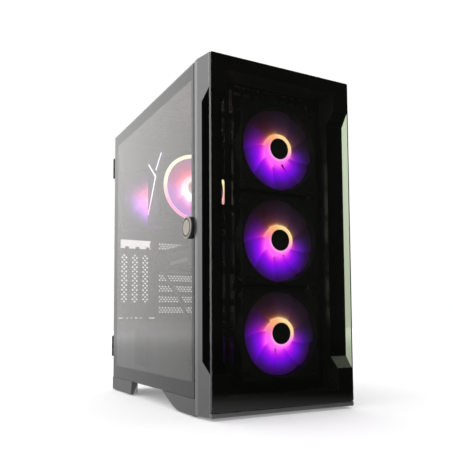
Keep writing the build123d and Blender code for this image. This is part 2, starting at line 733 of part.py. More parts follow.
def make_top_filter_mesh():
    """Sheets of fine mesh in the windows of the frame."""
    with BuildPart() as mesh:
        for x in FILTER_WINDOW_X:
            for window in FILTER_WINDOW_D:
                block((x - FILTER_WINDOW_HALF, x + FILTER_WINDOW_HALF), window, (462.2, 463.0))
    return mesh


def make_psu_filter():
    with BuildPart() as tray:
        block((-32.6, 82.6), (240, 392), (17.8, 21.8))
        block((-26, 76), (248, 380), (17.8, 21.8), mode=Mode.SUBTRACT)
        for x in shared_positions(-9, 59, 3):
            block((x - 1, x + 1), (248, 380), (18.4, 20.4))
        for d in shared_positions(270, 358, 4):
            block((-26, 76), (d - 1, d + 1), (18.4, 20.4))
        # pull tab
        block((5, 45), (392, 396), (17.8, 20.8))
    return tray


# ---- fans ----
def make_fan_frames(places, start_depth):
    """Square fan frames, 25 mm deep, one at each (x, z), with struts and motor seat at the back."""
    back = start_depth + FAN_T
    with BuildPart() as frames:
        with BuildSketch(facing_front(back)):
            with Locations(*places):
                RectangleRounded(FAN_SIZE, FAN_SIZE, 5)
                Circle(FAN_BORE_R, mode=Mode.SUBTRACT)
                with GridLocations(FAN_HOLE_PITCH, FAN_HOLE_PITCH, 2, 2):
                    Circle(2.2, mode=Mode.SUBTRACT)
        extrude(amount=FAN_T)
        # waist between the two flanges
        with BuildSketch(facing_front(back - 4)):
            with Locations(*places):
                Rectangle(FAN_SIZE + 1, FAN_SIZE + 1)
                Circle(FAN_BORE_R + 2, mode=Mode.SUBTRACT)
                for corner in (45, 135, 225, 315):
                    with PolarLocations(0, 1, start_angle=corner):
                        Rectangle(150, 12, mode=Mode.SUBTRACT)
        extrude(amount=FAN_T - 8, mode=Mode.SUBTRACT)
        # struts and motor seat
        with BuildSketch(facing_front(back)):
            with Locations(*places):
                Circle(FAN_HUB_R)
                with PolarLocations(FAN_BORE_R / 2 + 8, 4, start_angle=20):
                    Rectangle(FAN_BORE_R - 14, 3.4)
                Circle(BEARING_R, mode=Mode.SUBTRACT)
        extrude(amount=3.2)
    return frames


def make_fan_rotor(x, z, start_depth, shaft):
    """Hub with pitched blades and a shaft that runs in the frame's bearing."""
    blade_length = FAN_TIP_R - FAN_HUB_R
    nose = start_depth + 0.8
    hub_end = start_depth + FAN_T - 3.8
    with BuildPart() as rotor:
        with BuildSketch(facing_front(hub_end)):
            with Locations((x, z)):
                Circle(FAN_HUB_R)
        extrude(amount=hub_end - nose)
        fillet(rotor.faces().sort_by(Axis.Y)[0].edges(), radius=1.5)
        middle = Plane(origin=(x, depth((nose + hub_end) / 2), z), x_dir=(1, 0, 0), z_dir=(0, -1, 0))
        with Locations(middle):
            with PolarLocations((FAN_HUB_R + FAN_TIP_R) / 2 - 1, FAN_BLADES):
                Box(blade_length + 2, FAN_CHORD, 1.6, rotation=(38, 0, 0))
        with BuildSketch(facing_front(hub_end + shaft)):
            with Locations((x, z)):
                Circle(SHAFT_R)
        extrude(amount=shaft)
    return rotor


# ---- processor cooler ----
def make_cooler_fins():
    """Stack of thin fins between two thicker end plates, in two blocks joined by the heat pipes."""
    fin_count = 26
    first, last = -57.4, 32.0
    with BuildPart() as fins:
        for i, x in enumerate(shared_positions(first, last, fin_count)):
            block((x, x + 0.7), (COOLER_FRONT, COOLER_BACK), (COOLER_Z - 60, COOLER_Z + 60))
        # side links between the fins
        for z in (COOLER_Z - 44, COOLER_Z + 44):
            for d in (COOLER_FRONT + 0.2, COOLER_BACK - 1.2):
                block((first, last + 0.7), (d, d + 1.0), (z - 3, z + 3))
        with BuildSketch(Plane.YZ.offset(first - 1)):
            with Locations((depth(332.5), COOLER_Z)):
                with GridLocations(16, 24, 2, 2):
                    Circle(3.05)
        extrude(amount=last - first + 4, mode=Mode.SUBTRACT)
    return fins


def make_cooler_pipes():
    """Four heat pipes and the base that they pass through, on the processor."""
    with BuildPart() as pipes:
        with BuildSketch(Plane.YZ.offset(-57.4)):
            with Locations((depth(332.5), COOLER_Z)):
                with GridLocations(16, 24, 2, 2):
                    Circle(3.0)
        extrude(amount=57.4 + 62)
        block((60, 72), (315, 350), (COOLER_Z - 19, COOLER_Z + 19))
        block((64, 66.5), (324, 341), (COOLER_Z - 45, COOLER_Z + 45))
    return pipes


def make_cooler_cover():
    """Moulded cover on the outer end of the fins."""
    with BuildPart() as cover:
        block((-60.5, -57.9), (COOLER_FRONT, COOLER_BACK), (COOLER_Z - 61, COOLER_Z + 61))
        chamfer(cover.faces().sort_by(Axis.X)[0].edges(), length=1.2)
    return cover


def make_cooler_light():
    """Three light strips that meet in a Y, on the side of the cooler."""
    strokes = (((353.5, 318), (317, 381)), ((317, 381), (352.5, 411)), ((315, 392), (289, 417)))
    with BuildPart() as light:
        with BuildSketch(Plane.YZ.offset(-61.3)):
            for start, end in strokes:
                with BuildLine():
                    Line((depth(start[0]), start[1]), (depth(end[0]), end[1]))
                trace(line_width=2.2)
        extrude(amount=0.8)
    return light


# ---- motherboard ----
def make_motherboard():
    with BuildPart() as board:
        block((BOARD_X, BOARD_X + 1.6), (142, 386), (137, 442))
        with BuildSketch(Plane.YZ.offset(BOARD_X)):
            with Locations(*[(depth(d), z) for d, z in BOARD_SCREWS]):
                Circle(1.9)
        extrude(amount=1.6, mode=Mode.SUBTRACT)
    return board


def make_screws_and_standoffs():
    """Standoffs and screws of the board, and the screws of the rear fan and the power supply."""
    places = [(depth(d), z) for d, z in BOARD_SCREWS]
    back = REAR_DEPTH + SHEET
    with BuildPart() as screws:
        with BuildSketch(Plane.YZ.offset(BOARD_X + 1.6)):
            with Locations(*places):
                RegularPolygon(3, 6)
        extrude(amount=TRAY_X - BOARD_X - 1.6)
        with BuildSketch(Plane.YZ.offset(BOARD_X)):
            with Locations(*places):
                Circle(1.8)
        extrude(amount=1.6)
        with BuildSketch(Plane.YZ.offset(BOARD_X - 1.6)):
            with Locations(*places):
                Circle(3.2)
                with PolarLocations(0, 2, angular_range=90):
                    Rectangle(3.2, 0.8, mode=Mode.SUBTRACT)
        extrude(amount=1.6)
        for (x, z), pitch_x, pitch_z, shank_r, reach in (
                ((REAR_FAN_X, REAR_FAN_Z), FAN_HOLE_PITCH, FAN_HOLE_PITCH, 2.0, 9),
                (PSU_OPENING, 138, 83, 1.7, 1)):
            with BuildSketch(facing_front(back)):
                with Locations((x, z)):
                    with GridLocations(pitch_x, pitch_z, 2, 2):
                        Circle(shank_r)
            extrude(amount=reach)
            with BuildSketch(facing_front(back + 1.8)):
                with Locations((x, z)):
                    with GridLocations(pitch_x, pitch_z, 2, 2):
                        Circle(3.5)
            extrude(amount=1.8)
            with BuildSketch(facing_front(back + 1.8)):
                with Locations((x, z)):
                    with GridLocations(pitch_x, pitch_z, 2, 2):
                        Rectangle(4, 0.9)
                        Rectangle(0.9, 4)
            extrude(amount=1, mode=Mode.SUBTRACT)
    return screws


def make_board_sockets():
    """Processor socket, memory sockets, card slots and power headers."""
    with BuildPart() as sockets:
        block((72, BOARD_X), (308, 357), (COOLER_Z - 26, COOLER_Z + 26))
        for d in MEMORY_DEPTHS:
            block((74, BOARD_X), (d - 3, d + 3), (292, 430))
        for index in (1, 4, 6):
            z = TOP_SLOT_Z - index * SLOT_PITCH - 0.9
            block((69, BOARD_X), (254, 340), (z - 3.5, z + 3.5))
            block((69, 72), (256, 338), (z - 0.9, z + 0.9), mode=Mode.SUBTRACT)
        block((66, BOARD_X), (146, 157), (320, 372))
        block((68, BOARD_X), (356, 370), (428, 440))
        for z in shared_positions(165, 215, 3):
            block((68, BOARD_X), (144, 156), (z - 8, z + 8))
    return sockets


def make_memory():
    with BuildPart() as sticks:
        for d in MEMORY_DEPTHS[1::2]:
            block((38, 74), (d - 2.9, d + 2.9), (295, 428))
            block((35.6, 38), (d - 2.2, d + 2.2), (300, 423))
    return sticks


def make_board_heatsinks():
    with BuildPart() as sinks:
        for x in shared_positions(52, 70, 5):
            block((x, x + 2.6), (366, 385), (312, 424))
        block((52, 76), (368, 371), (313, 423))
        block((76, BOARD_X), (362, 385.6), (312, 424))
        for x in shared_positions(62, 74, 3):
            block((x, x + 3), (292, 352), (427.5, 440))
        block((62, BOARD_X), (296, 300), (428, 439))
        block((72, BOARD_X), (160, 205), (180, 228))
        block((74.4, BOARD_X), (215, 300), (258, 276))
    return sinks


def make_rear_ports():
    """Shield plate with the board's socket block behind it."""
    with BuildPart() as ports:
        block((38.6, 80), (REAR_DEPTH - 1, REAR_DEPTH), (284, 442))
        block((42, 76), (366.5, REAR_DEPTH - 1), (288, 311))
        block((46, 76), (386, REAR_DEPTH - 1), (312, 438))
        with BuildSketch(facing_front(REAR_DEPTH)):
            for z in (300, 318, 336):
                with Locations((52, z), (70, z)):
                    Rectangle(7, 13.5)
            with Locations((61, 362)):
                Rectangle(14, 16)
            with Locations((61, 385)):
                Rectangle(16, 6)
            for z in (402, 416, 430):
                with Locations((53, z), (69, z)):
                    Circle(2.9)
        extrude(amount=3, mode=Mode.SUBTRACT)
    return ports


# ---- graphics card ----
def make_card_board():
    """Circuit board, back plate and slot bracket of the graphics card."""
    with BuildPart() as card:
        block((CARD_LEFT + 4, 69), (CARD_FRONT, 386), (CARD_Z + 4, CARD_Z + 5.6))
        block((69, 71.5), (258, 336), (CARD_Z + 4, CARD_Z + 5.6))
        block((CARD_LEFT, 68), (CARD_FRONT - 2, 385), (CARD_Z + 11.5, CARD_Z + 13))
        for x in (-22, 60):
            for d in (160, 376):
                block((x, x + 4), (d, d + 4), (CARD_Z + 5.6, CARD_Z + 11.5))
        # bracket that fills two slots
        block((-38, 76), (REAR_DEPTH - 1, REAR_DEPTH), (216.3, 254.4))
        block((30, 60), (386, REAR_DEPTH - 1), (CARD_Z + 3, CARD_Z + 6.6))
        with BuildSketch(facing_front(REAR_DEPTH)):
            with Locations((-10, 225.3)):
                with GridLocations(7, 1, 5, 1):
                    SlotOverall(10, 3.6, rotation=90)
            with Locations((16, CARD_Z - 4), (36, CARD_Z - 4), (56, CARD_Z - 4)):
                Rectangle(15.5, 5.2)
        extrude(amount=1, mode=Mode.SUBTRACT)
    return card


def make_card_shroud():
    """Cover over the card's cooler, open below each fan."""
    with BuildPart() as shroud:
        block((CARD_LEFT, 68), (CARD_FRONT, 384), (214, CARD_Z + 4))
        block((CARD_LEFT + 2.5, 65.5), (CARD_FRONT + 3, 381), (217, CARD_Z + 5), mode=Mode.SUBTRACT)
        with BuildSketch(Plane.XY.offset(213)):
            with Locations(*[(CARD_FAN_X, depth(d)) for d in CARD_FAN_DEPTHS]):
                Circle(CARD_FAN_R + 1.5)
        extrude(amount=5, mode=Mode.SUBTRACT)
        # vents in the long side
        with BuildSketch(Plane.YZ.offset(CARD_LEFT - 1)):
            with Locations((depth(345), 236)):
                with GridLocations(11, 1, 6, 1):
                    SlotOverall(8, 3)
            with Locations((depth(185), 236)):
                with GridLocations(11, 1, 6, 1):
                    SlotOverall(8, 3)
        extrude(amount=5, mode=Mode.SUBTRACT)
        chamfer(shroud.edges().filter_by(Axis.Y).group_by(Axis.X)[0].sort_by(Axis.Z)[0], length=1.5)
    return shroud


def make_card_heatsink():
    with BuildPart() as sink:
        block((CARD_LEFT + 8, 60), (CARD_FRONT + 8, 374), (CARD_Z + 1, CARD_Z + 4))
        for d in shared_positions(CARD_FRONT + 10, 370, 34):
            block((CARD_LEFT + 10, 58), (d, d + 1.2), (229, CARD_Z + 1))
        for d in CARD_FAN_DEPTHS:
            with BuildSketch(Plane.XY.offset(226)):
                with Locations((CARD_FAN_X, depth(d))):
                    Circle(13)
                    Circle(BEARING_R, mode=Mode.SUBTRACT)
            extrude(amount=3.4)
    return sink


def make_card_rotor(distance):
    """Fan of the graphics card; its shaft runs in the seat under the fins."""
    blades = 11
    with BuildPart() as rotor:
        with BuildSketch(Plane.XY.offset(214.6)):
            with Locations((CARD_FAN_X, depth(distance))):
                Circle(14)
        extrude(amount=10.8)
        fillet(rotor.faces().sort_by(Axis.Z)[0].edges(), radius=1.0)
        with Locations((CARD_FAN_X, depth(distance), 220.4)):
            with PolarLocations(26.4, blades):
                Box(26, 10.5, 1.2, rotation=(32, 0, 0))
        with BuildSketch(Plane.XY.offset(225.4)):
            with Locations((CARD_FAN_X, depth(distance))):
                Circle(SHAFT_R)
        extrude(amount=3)
    return rotor


# ---- power supply ----
def make_psu_case():
    wall = 1.0
    with BuildPart() as case:
        block(PSU_X, (PSU_FRONT, REAR_DEPTH), PSU_Z)
        block((PSU_X[0] + wall, PSU_X[1] - wall), (PSU_FRONT + wall, REAR_DEPTH - wall),
              (PSU_Z[0] + wall, PSU_Z[1] - wall), mode=Mode.SUBTRACT)
        # fan opening in the floor, with a ring and bars as its guard
        with BuildSketch(Plane.XY.offset(PSU_Z[0])):
            with Locations((PSU_FAN[0], depth(PSU_FAN[1]))):
                for ring in (18, 28, 38, 48, 58):
                    Circle(ring + 7)
                    Circle(ring, mode=Mode.SUBTRACT)
                Rectangle(150, 3, rotation=45, mode=Mode.SUBTRACT)
                Rectangle(150, 3, rotation=-45, mode=Mode.SUBTRACT)
        extrude(amount=wall, mode=Mode.SUBTRACT)
        with BuildSketch(facing_front(REAR_DEPTH)):
            with Locations((45, 60)):
                with GridLocations(9, 9, 9, 6):
                    RegularPolygon(4, 6)
            with Locations((-26, 50)):
                with GridLocations(9, 9, 4, 4):
                    RegularPolygon(4, 6)
            with Locations((INLET_X, INLET_Z)):
                Rectangle(28, 20.5)
            with Locations((SWITCH_X, INLET_Z)):
                Rectangle(20.4, 12.6)
        extrude(amount=wall, mode=Mode.SUBTRACT)
        # feet on the chassis floor
        for x in (-48, 90):
            for d in (256, 376):
                block((x, x + 6), (d, d + 8), (PANEL_BOTTOM + SHEET, PSU_Z[0]))
        # cable outlet in the front wall
        block((40, 90), (PSU_FRONT, PSU_FRONT + wall), (60, 90), mode=Mode.SUBTRACT)
        # bracket of the fan motor, across the floor opening
        block((-50, 96), (PSU_FAN[1] - 4, PSU_FAN[1] + 4), (41, 43))
        block((PSU_FAN[0] - 18, PSU_FAN[0] + 18), (PSU_FAN[1] - 14, PSU_FAN[1] + 14), (41, 43))
        with BuildSketch(Plane.XY.offset(41)):
            with Locations((PSU_FAN[0], depth(PSU_FAN[1]))):
                Circle(BEARING_R)
        extrude(amount=2, mode=Mode.SUBTRACT)
    return case


def make_psu_rotor():
    with BuildPart() as rotor:
        with BuildSketch(Plane.XY.offset(29.5)):
            with Locations((PSU_FAN[0], depth(PSU_FAN[1]))):
                Circle(18)
        extrude(amount=10.8)
        with Locations((PSU_FAN[0], depth(PSU_FAN[1]), 34.6)):
            with PolarLocations(37, 9):
                Box(40, 12, 1.4, rotation=(34, 0, 0))
        with BuildSketch(Plane.XY.offset(40.3)):
            with Locations((PSU_FAN[0], depth(PSU_FAN[1]))):
                Circle(SHAFT_R)
        extrude(amount=2.4)
    return rotor


def make_psu_inlet():
    """Appliance inlet with three blades in its well, and the well of the switch beside it."""
    face = REAR_DEPTH + 1.0
    with BuildPart() as inlet:
        block((INLET_X - 13.8, INLET_X + 13.8), (366, face), (INLET_Z - 10.1, INLET_Z + 10.1))
        block((INLET_X - 12.4, INLET_X + 12.4), (374, face + 1), (INLET_Z - 8.6, INLET_Z + 8.6),
              mode=Mode.SUBTRACT)
        for dx, dz in ((-7, 2), (7, 2), (0, -2)):
            blade_x, blade_z = INLET_X + dx, INLET_Z + dz
            block((blade_x - 1, blade_x + 1), (370, 387), (blade_z - 2, blade_z + 2))
        block((SWITCH_X - 10.1, SWITCH_X + 10.1), (373, face), (INLET_Z - 6.2, INLET_Z + 6.2))
        block((SWITCH_X - 9.1, SWITCH_X + 9.1), (375, face + 1), (INLET_Z - 5.2, INLET_Z + 5.2),
              mode=Mode.SUBTRACT)
    return inlet


def make_rocker():
    """Rocker of the mains switch: two faces that meet at an angle, on a crosswise pivot."""
    outline = ((-5.0, -6.0), (5.0, -6.0), (8.0, 0.4), (0.0, -0.6), (-8.0, 3.0))
    with BuildPart() as rocker:
        with BuildSketch(Plane.XY.offset(INLET_Z - 4.7)):
            with BuildLine():
                Polyline(*[(SWITCH_X + x, depth(ROCKER_PIVOT + y)) for x, y in outline], close=True)
            make_face()
        extrude(amount=9.4)
        with BuildSketch(Plane.XY.offset(INLET_Z - 5.1)):
            with Locations((SWITCH_X, depth(ROCKER_PIVOT))):
                Circle(1.3)
        extrude(amount=10.2)
    return rocker


# ---- drives ----
def make_drive_cage():
    near, far = CAGE_D
    with BuildPart() as walls:
        for wall in ((near, near + SHEET), (far - SHEET, far)):
            block(CAGE_X, wall, (PANEL_BOTTOM + SHEET, 110))
        with BuildSketch(facing_front(far)):
            for z in (45, 88):
                with Locations((11, z)):
                    with GridLocations(24, 1, 5, 1):
                        SlotOverall(18, 8)
        extrude(amount=far - near, mode=Mode.SUBTRACT)
    with BuildPart() as shelves:
        block(CAGE_X, (near + SHEET, far - SHEET), (109, 110))
        block(CAGE_X, (near + SHEET, far - SHEET), (TRAY_FLOORS[1] - SHEET, TRAY_FLOORS[1]))
    return welded(walls, shelves)


def make_drive_trays():
    """Two trays: each a floor, two sides, and a front plate with its grip."""
    with BuildPart() as floors:
        for z in TRAY_FLOORS:
            block((-56, 86), (94, 204), (z, z + 2))
    with BuildPart() as sides:
        for z in TRAY_FLOORS:
            for d in ((94, 96.4), (201.6, 204)):
                block((-56, 86), d, (z + 2, z + 32))
    with BuildPart() as fronts:
        for z in TRAY_FLOORS:
            block((86, 89), (94, 204), (z, z + 34))
            block((89, 93), (120, 178), (z + 8, z + 26))
            block((86, 94), (124, 174), (z + 12, z + 22), mode=Mode.SUBTRACT)
    return welded(floors, sides, fronts)


def make_hard_drive():
    with BuildPart() as drive:
        block((-62, 84), (98.2, 199.8), (25.8, 51.8))
        chamfer(drive.edges().filter_by(Axis.Z), length=2)
        with BuildSketch(Plane.XY.offset(51.8)):
            with Locations((0, depth(149))):
                Circle(42)
                Circle(10, mode=Mode.SUBTRACT)
        extrude(amount=-0.6, mode=Mode.SUBTRACT)
    return drive


# ---- cables held inside the case ----
def make_internal_cables():
    """Sleeved cables: each one straight runs joined by arcs as large as the runs allow."""
    with BuildPart() as cables:
        # plug on the long side of the graphics card
        block((-38, CARD_LEFT), (324, 340), (227.4, 236.6))
        sized = [(route, BOARD_CABLE_R) for route in BOARD_CABLES] + [(CARD_CABLE, CARD_CABLE_R)]
        for points, radius in sized:
            route = [Vector(x, depth(d), z) for x, d, z in points]
            radii = []
            for before, corner, after in zip(route, route[1:], route[2:]):
                turn = radians((corner - before).get_angle(after - corner))
                shorter = min((corner - before).length, (after - corner).length)
                radii.append(0.45 * shorter / tan(turn / 2))
            with BuildLine() as path:
                FilletPolyline(*route, radius=radii)
            with BuildSketch(Plane(origin=route[0], z_dir=(route[1] - route[0]).normalized())):
                Circle(radius)
            sweep(path=path.line)
            print("cable bend radii", [round(r) for r in radii])
    return cables


pieces = {}
pieces["front_bezel"] = make_front_bezel()
pieces["front_glass"] = make_front_glass()
pieces["chassis_base"] = make_chassis_base()
pieces["rear_panel"] = make_rear_panel()
pieces["front_wall"] = make_front_wall()
pieces["top_panel"] = make_top_panel()
pieces["motherboard_tray"] = make_motherboard_tray()
pieces["cable_grommets"] = make_grommets()
pieces["psu_shroud"] = make_psu_shroud()
pieces["top_trim"] = make_top_trim()
pieces["front_sockets"] = make_front_sockets()
pieces["socket_board"] = make_socket_board()
pieces["power_button"] = make_button(POWER_BUTTON_X, 8.0)
pieces["reset_button"] = make_button(RESET_BUTTON_X, 4.0)
pieces["slot_covers"] = make_slot_covers()
pieces["case_feet"] = make_case_feet()
pieces["foot_pads"] = make_foot_pads()
pieces["door_glass"] = make_door_glass()
pieces["door_border"] = make_door_border()
pieces["door_knob"] = make_door_knob()
pieces["knob_screw"] = make_knob_screw()
pieces["door_hinge_leaves"] = make_door_hinge_leaves()
pieces["case_hinge_leaves"] = make_case_hinge_leaves()
pieces["hinge_pins"] = make_hinge_pins()
pieces["right_panel"] = make_right_panel()
pieces["thumbscrews"] = make_thumbscrews()
pieces["top_filter_frame"] = make_top_filter_frame()
pieces["top_filter_mesh"] = make_top_filter_mesh()
pieces["psu_filter"] = make_psu_filter()
pieces["front_fan_frames"] = make_fan_frames([(0, z) for z in FRONT_FAN_Z], FRONT_FAN_DEPTH)
pieces["rear_fan_frame"] = make_fan_frames([(REAR_FAN_X, REAR_FAN_Z)], REAR_DEPTH - FAN_T)
pieces["cpu_fan_frame"] = make_fan_frames([(0, COOLER_Z)], CPU_FAN_DEPTH)
for number, z in enumerate(FRONT_FAN_Z, 1):
    pieces[f"front_fan_rotor_{number}"] = make_fan_rotor(0, z, FRONT_FAN_DEPTH, 4.0)
pieces["rear_fan_rotor"] = make_fan_rotor(REAR_FAN_X, REAR_FAN_Z, REAR_DEPTH - FAN_T, 3.6)
pieces["cpu_fan_rotor"] = make_fan_rotor(0, COOLER_Z, CPU_FAN_DEPTH, 3.6)
pieces["cooler_fins"] = make_cooler_fins()
pieces["cooler_pipes"] = make_cooler_pipes()
pieces["cooler_cover"] = make_cooler_cover()
pieces["cooler_light"] = make_cooler_light()
pieces["motherboard"] = make_motherboard()
pieces["screws_and_standoffs"] = make_screws_and_standoffs()
pieces["board_sockets"] = make_board_sockets()
pieces["memory_sticks"] = make_memory()
pieces["board_heatsinks"] = make_board_heatsinks()
pieces["rear_ports"] = make_rear_ports()
pieces["graphics_card_board"] = make_card_board()
pieces["graphics_card_shroud"] = make_card_shroud()
pieces["graphics_card_heatsink"] = make_card_heatsink()
for number, distance in enumerate(CARD_FAN_DEPTHS, 1):
    pieces[f"graphics_fan_rotor_{number}"] = make_card_rotor(distance)
pieces["psu_case"] = make_psu_case()
pieces["psu_fan_rotor"] = make_psu_rotor()
pieces["psu_inlet"] = make_psu_inlet()
pieces["psu_switch"] = make_rocker()
pieces["drive_cage"] = make_drive_cage()
pieces["drive_trays"] = make_drive_trays()
pieces["hard_drive"] = make_hard_drive()
pieces["internal_cables"] = make_internal_cables()

os.makedirs("parts", exist_ok=True)
for name, piece in pieces.items():
    shape = piece.part if isinstance(piece, BuildPart) else piece
    shape.label = name
    export_step(shape, f"parts/{name}.step")
print(len(pieces), "nodes")
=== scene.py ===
import json
import math
import random

import bpy
from mathutils import Matrix, Vector


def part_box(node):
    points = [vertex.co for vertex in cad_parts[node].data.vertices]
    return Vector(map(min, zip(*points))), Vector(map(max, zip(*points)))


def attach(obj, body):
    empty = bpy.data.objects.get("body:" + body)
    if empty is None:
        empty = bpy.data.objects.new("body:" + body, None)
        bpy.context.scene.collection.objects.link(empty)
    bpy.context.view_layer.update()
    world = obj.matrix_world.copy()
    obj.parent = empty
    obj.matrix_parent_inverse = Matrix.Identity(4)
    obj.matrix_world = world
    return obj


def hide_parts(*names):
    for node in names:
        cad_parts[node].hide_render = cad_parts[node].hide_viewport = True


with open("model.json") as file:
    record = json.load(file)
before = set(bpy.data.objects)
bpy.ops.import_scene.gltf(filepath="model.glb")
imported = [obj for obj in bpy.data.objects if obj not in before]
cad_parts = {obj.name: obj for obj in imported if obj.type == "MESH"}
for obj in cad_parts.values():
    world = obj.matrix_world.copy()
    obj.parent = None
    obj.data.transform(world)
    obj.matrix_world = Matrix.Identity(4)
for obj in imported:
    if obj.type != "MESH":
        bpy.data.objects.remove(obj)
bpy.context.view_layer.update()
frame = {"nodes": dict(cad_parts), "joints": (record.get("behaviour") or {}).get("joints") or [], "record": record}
nodes = frame["nodes"]
scene = bpy.context.scene
MM = 0.001
FRONT_Y = -0.2            # outer face of the front glass
BLADE_TIP = 55.6          # radius of a 120 mm fan's blades, in mm


# ---------------------------------------------------------------- node trees
class Graph:
    """Builds the node tree of a material or of the world."""

    def __init__(self, owner, place="Object"):
        owner.use_nodes = True
        self.owner = owner
        self.tree = owner.node_tree
        self.tree.nodes.clear()
        self.place = self.add("ShaderNodeTexCoord").outputs[place]

    def put(self, socket, value):
        if isinstance(value, bpy.types.NodeSocket):
            self.tree.links.new(value, socket)
        else:
            socket.default_value = value

    def add(self, kind, settings=(), inputs=()):
        node = self.tree.nodes.new(kind)
        for key, value in dict(settings).items():
            setattr(node, key, value)
        for key, value in dict(inputs).items():
            self.put(node.inputs[key], value)
        return node

    def math(self, operation, a, b=0.0):
        return self.add("ShaderNodeMath", {"operation": operation}, {0: a, 1: b}).outputs[0]

    def product(self, first, *others):
        for other in others:
            first = self.math("MULTIPLY", first, other)
        return first

    def distance(self, a, b):
        return self.math("SQRT", self.math("ADD", self.product(a, a), self.product(b, b)))

    def toward(self, a, b, radius, angle):
        """Cosine of the angle between the point (a, b) and a direction."""
        along = self.math("ADD", self.product(a, math.cos(angle)), self.product(b, math.sin(angle)))
        return self.math("DIVIDE", along, self.math("MAXIMUM", radius, 0.001))

    def dot(self, a, b):
        return self.add("ShaderNodeVectorMath", {"operation": "DOT_PRODUCT"}, {0: a, 1: b}).outputs["Value"]

    def axes(self, vector=None):
        return self.add("ShaderNodeSeparateXYZ", {}, {0: vector or self.place}).outputs

    def light_path(self, ray):
        return self.add("ShaderNodeLightPath").outputs[ray]

    def noise(self, scale, detail=3.0, rough=0.55, vector=None, distortion=0.0):
        return self.add("ShaderNodeTexNoise", {}, {
            "Vector": vector or self.place, "Scale": scale, "Detail": detail,
            "Roughness": rough, "Distortion": distortion}).outputs["Fac"]

    def cells(self, scale):
        """Distance to the nearest of many scattered points."""
        return self.add("ShaderNodeTexVoronoi", {"feature": "F1"},
                        {"Vector": self.place, "Scale": scale}).outputs["Distance"]

    def stretched(self, factors):
        return self.add("ShaderNodeMapping", {}, {"Vector": self.place, "Scale": factors}).outputs[0]

    def ramp(self, value, stops):
        """Colours along a value, from stops of (position, colour)."""
        node = self.add("ShaderNodeValToRGB", {}, {"Fac": value})
        elements = node.color_ramp.elements
        while len(elements) > 1:
            elements.remove(elements[-1])
        elements[0].position = stops[0][0]
        elements[0].color = (*stops[0][1], 1)
        for position, colour in stops[1:]:
            elements.new(position).color = (*colour, 1)
        return node.outputs["Color"]

    def span(self, value, low, high, source=(0.0, 1.0), smooth=False):
        """A value in the source range, mapped to low at its start and high at its end."""
        node = self.add("ShaderNodeMapRange", {"interpolation_type": "SMOOTHSTEP" if smooth else "LINEAR"})
        for socket, number in zip(node.inputs, (value, *source, low, high)):
            self.put(socket, number)
        return node.outputs[0]

    def mix(self, factor, a, b, blend="MIX"):
        """Two colours mixed."""
        node = self.add("ShaderNodeMix", {"data_type": "RGBA", "blend_type": blend})
        self.put(node.inputs[0], factor)
        for socket, value in ((node.inputs[6], a), (node.inputs[7], b)):
            self.put(socket, value if isinstance(value, bpy.types.NodeSocket) else (*value, 1))
        return node.outputs[2]

    def mix_number(self, factor, a, b):
        return self.add("ShaderNodeMix", {"data_type": "FLOAT"}, {0: factor, 2: a, 3: b}).outputs[0]

    def mix_shader(self, factor, a, b):
        return self.add("ShaderNodeMixShader", {}, {0: factor, 1: a, 2: b}).outputs[0]

    def bump(self, height, strength, distance, normal=None):
        inputs = {"Height": height, "Strength": strength, "Distance": distance}
        if normal is not None:
            inputs["Normal"] = normal
        return self.add("ShaderNodeBump", {}, inputs).outputs[0]

    def principled(self, colour, rough, normal=None, **uniform):
        node = self.add("ShaderNodeBsdfPrincipled")
        is_socket = isinstance(colour, bpy.types.NodeSocket)
        self.put(node.inputs["Base Color"], colour if is_socket else (*colour, 1))
        self.put(node.inputs["Roughness"], rough)
        if normal is not None:
            self.put(node.inputs["Normal"], normal)
        for key, value in uniform.items():
            self.put(node.inputs[key.replace("_", " ")], value)
        return node.outputs[0]

    def done(self, shader, output="ShaderNodeOutputMaterial"):
        self.tree.links.new(shader, self.add(output).inputs["Surface"])
        return self.owner


def material_graph(name):
    return Graph(bpy.data.materials.new(name))


def scaled(colour, factor):
    return tuple(min(1.0, c * factor) for c in colour)


# ---------------------------------------------------------------- finishes
# In each, noise scales are per metre and bump heights are in metres.
def moulded(name, colour, rough=0.42, grain=1500.0, relief=0.00006, **uniform):
    """Moulded plastic: fine spark-eroded grain, faint cloudiness, handling marks in the gloss."""
    g = material_graph(name)
    grain_height = g.noise(grain, 2.0)
    cloud = g.noise(14.0, 4.0)
    marks = g.noise(55.0, 5.0, 0.65, distortion=0.6)
    tone = g.mix(g.span(cloud, 0.0, 1.0, (0.3, 0.7)), scaled(colour, 0.82), scaled(colour, 1.18))
    gloss = g.math("ADD", g.span(marks, rough - 0.05, rough + 0.07), g.span(grain_height, -0.03, 0.03))
    return g.done(g.principled(tone, gloss, g.bump(grain_height, 0.5, relief), **uniform))


INTAKE_FRONT, INTAKE_REAR = -0.1949, -0.1795      # Y of the side intakes in the bezel
INTAKE_SIDE = 0.1153                              # they stay this close to the middle
INTAKE_MIDDLE, INTAKE_HALF = 0.23815, 0.16665     # height of their middle, and half of theirs at the rear
SKIN = 0.0003                                     # depth of wall that still counts as the intake's


def intake_shade_mask(g):
    """Painted shade mask: 1 on the slanted walls of the side intakes, without the right one's sill, and 0
    elsewhere.
    """
    x, y, z = g.axes()
    past_end = g.math("SUBTRACT", g.math("ABSOLUTE", g.math("SUBTRACT", z, INTAKE_MIDDLE)), INTAKE_HALF)
    past_end = g.math("ADD", past_end, g.math("SUBTRACT", y, INTAKE_REAR))
    sill_top = INTAKE_MIDDLE - INTAKE_HALF + SKIN
    sill = g.product(g.math("GREATER_THAN", x, 0.0), g.math("LESS_THAN", z, sill_top))
    within = (g.math("LESS_THAN", y, INTAKE_REAR + SKIN), g.math("GREATER_THAN", y, INTAKE_FRONT),
              g.math("LESS_THAN", g.math("ABSOLUTE", x), INTAKE_SIDE), g.math("LESS_THAN", past_end, SKIN))
    return g.product(*within, g.math("SUBTRACT", 1.0, sill))


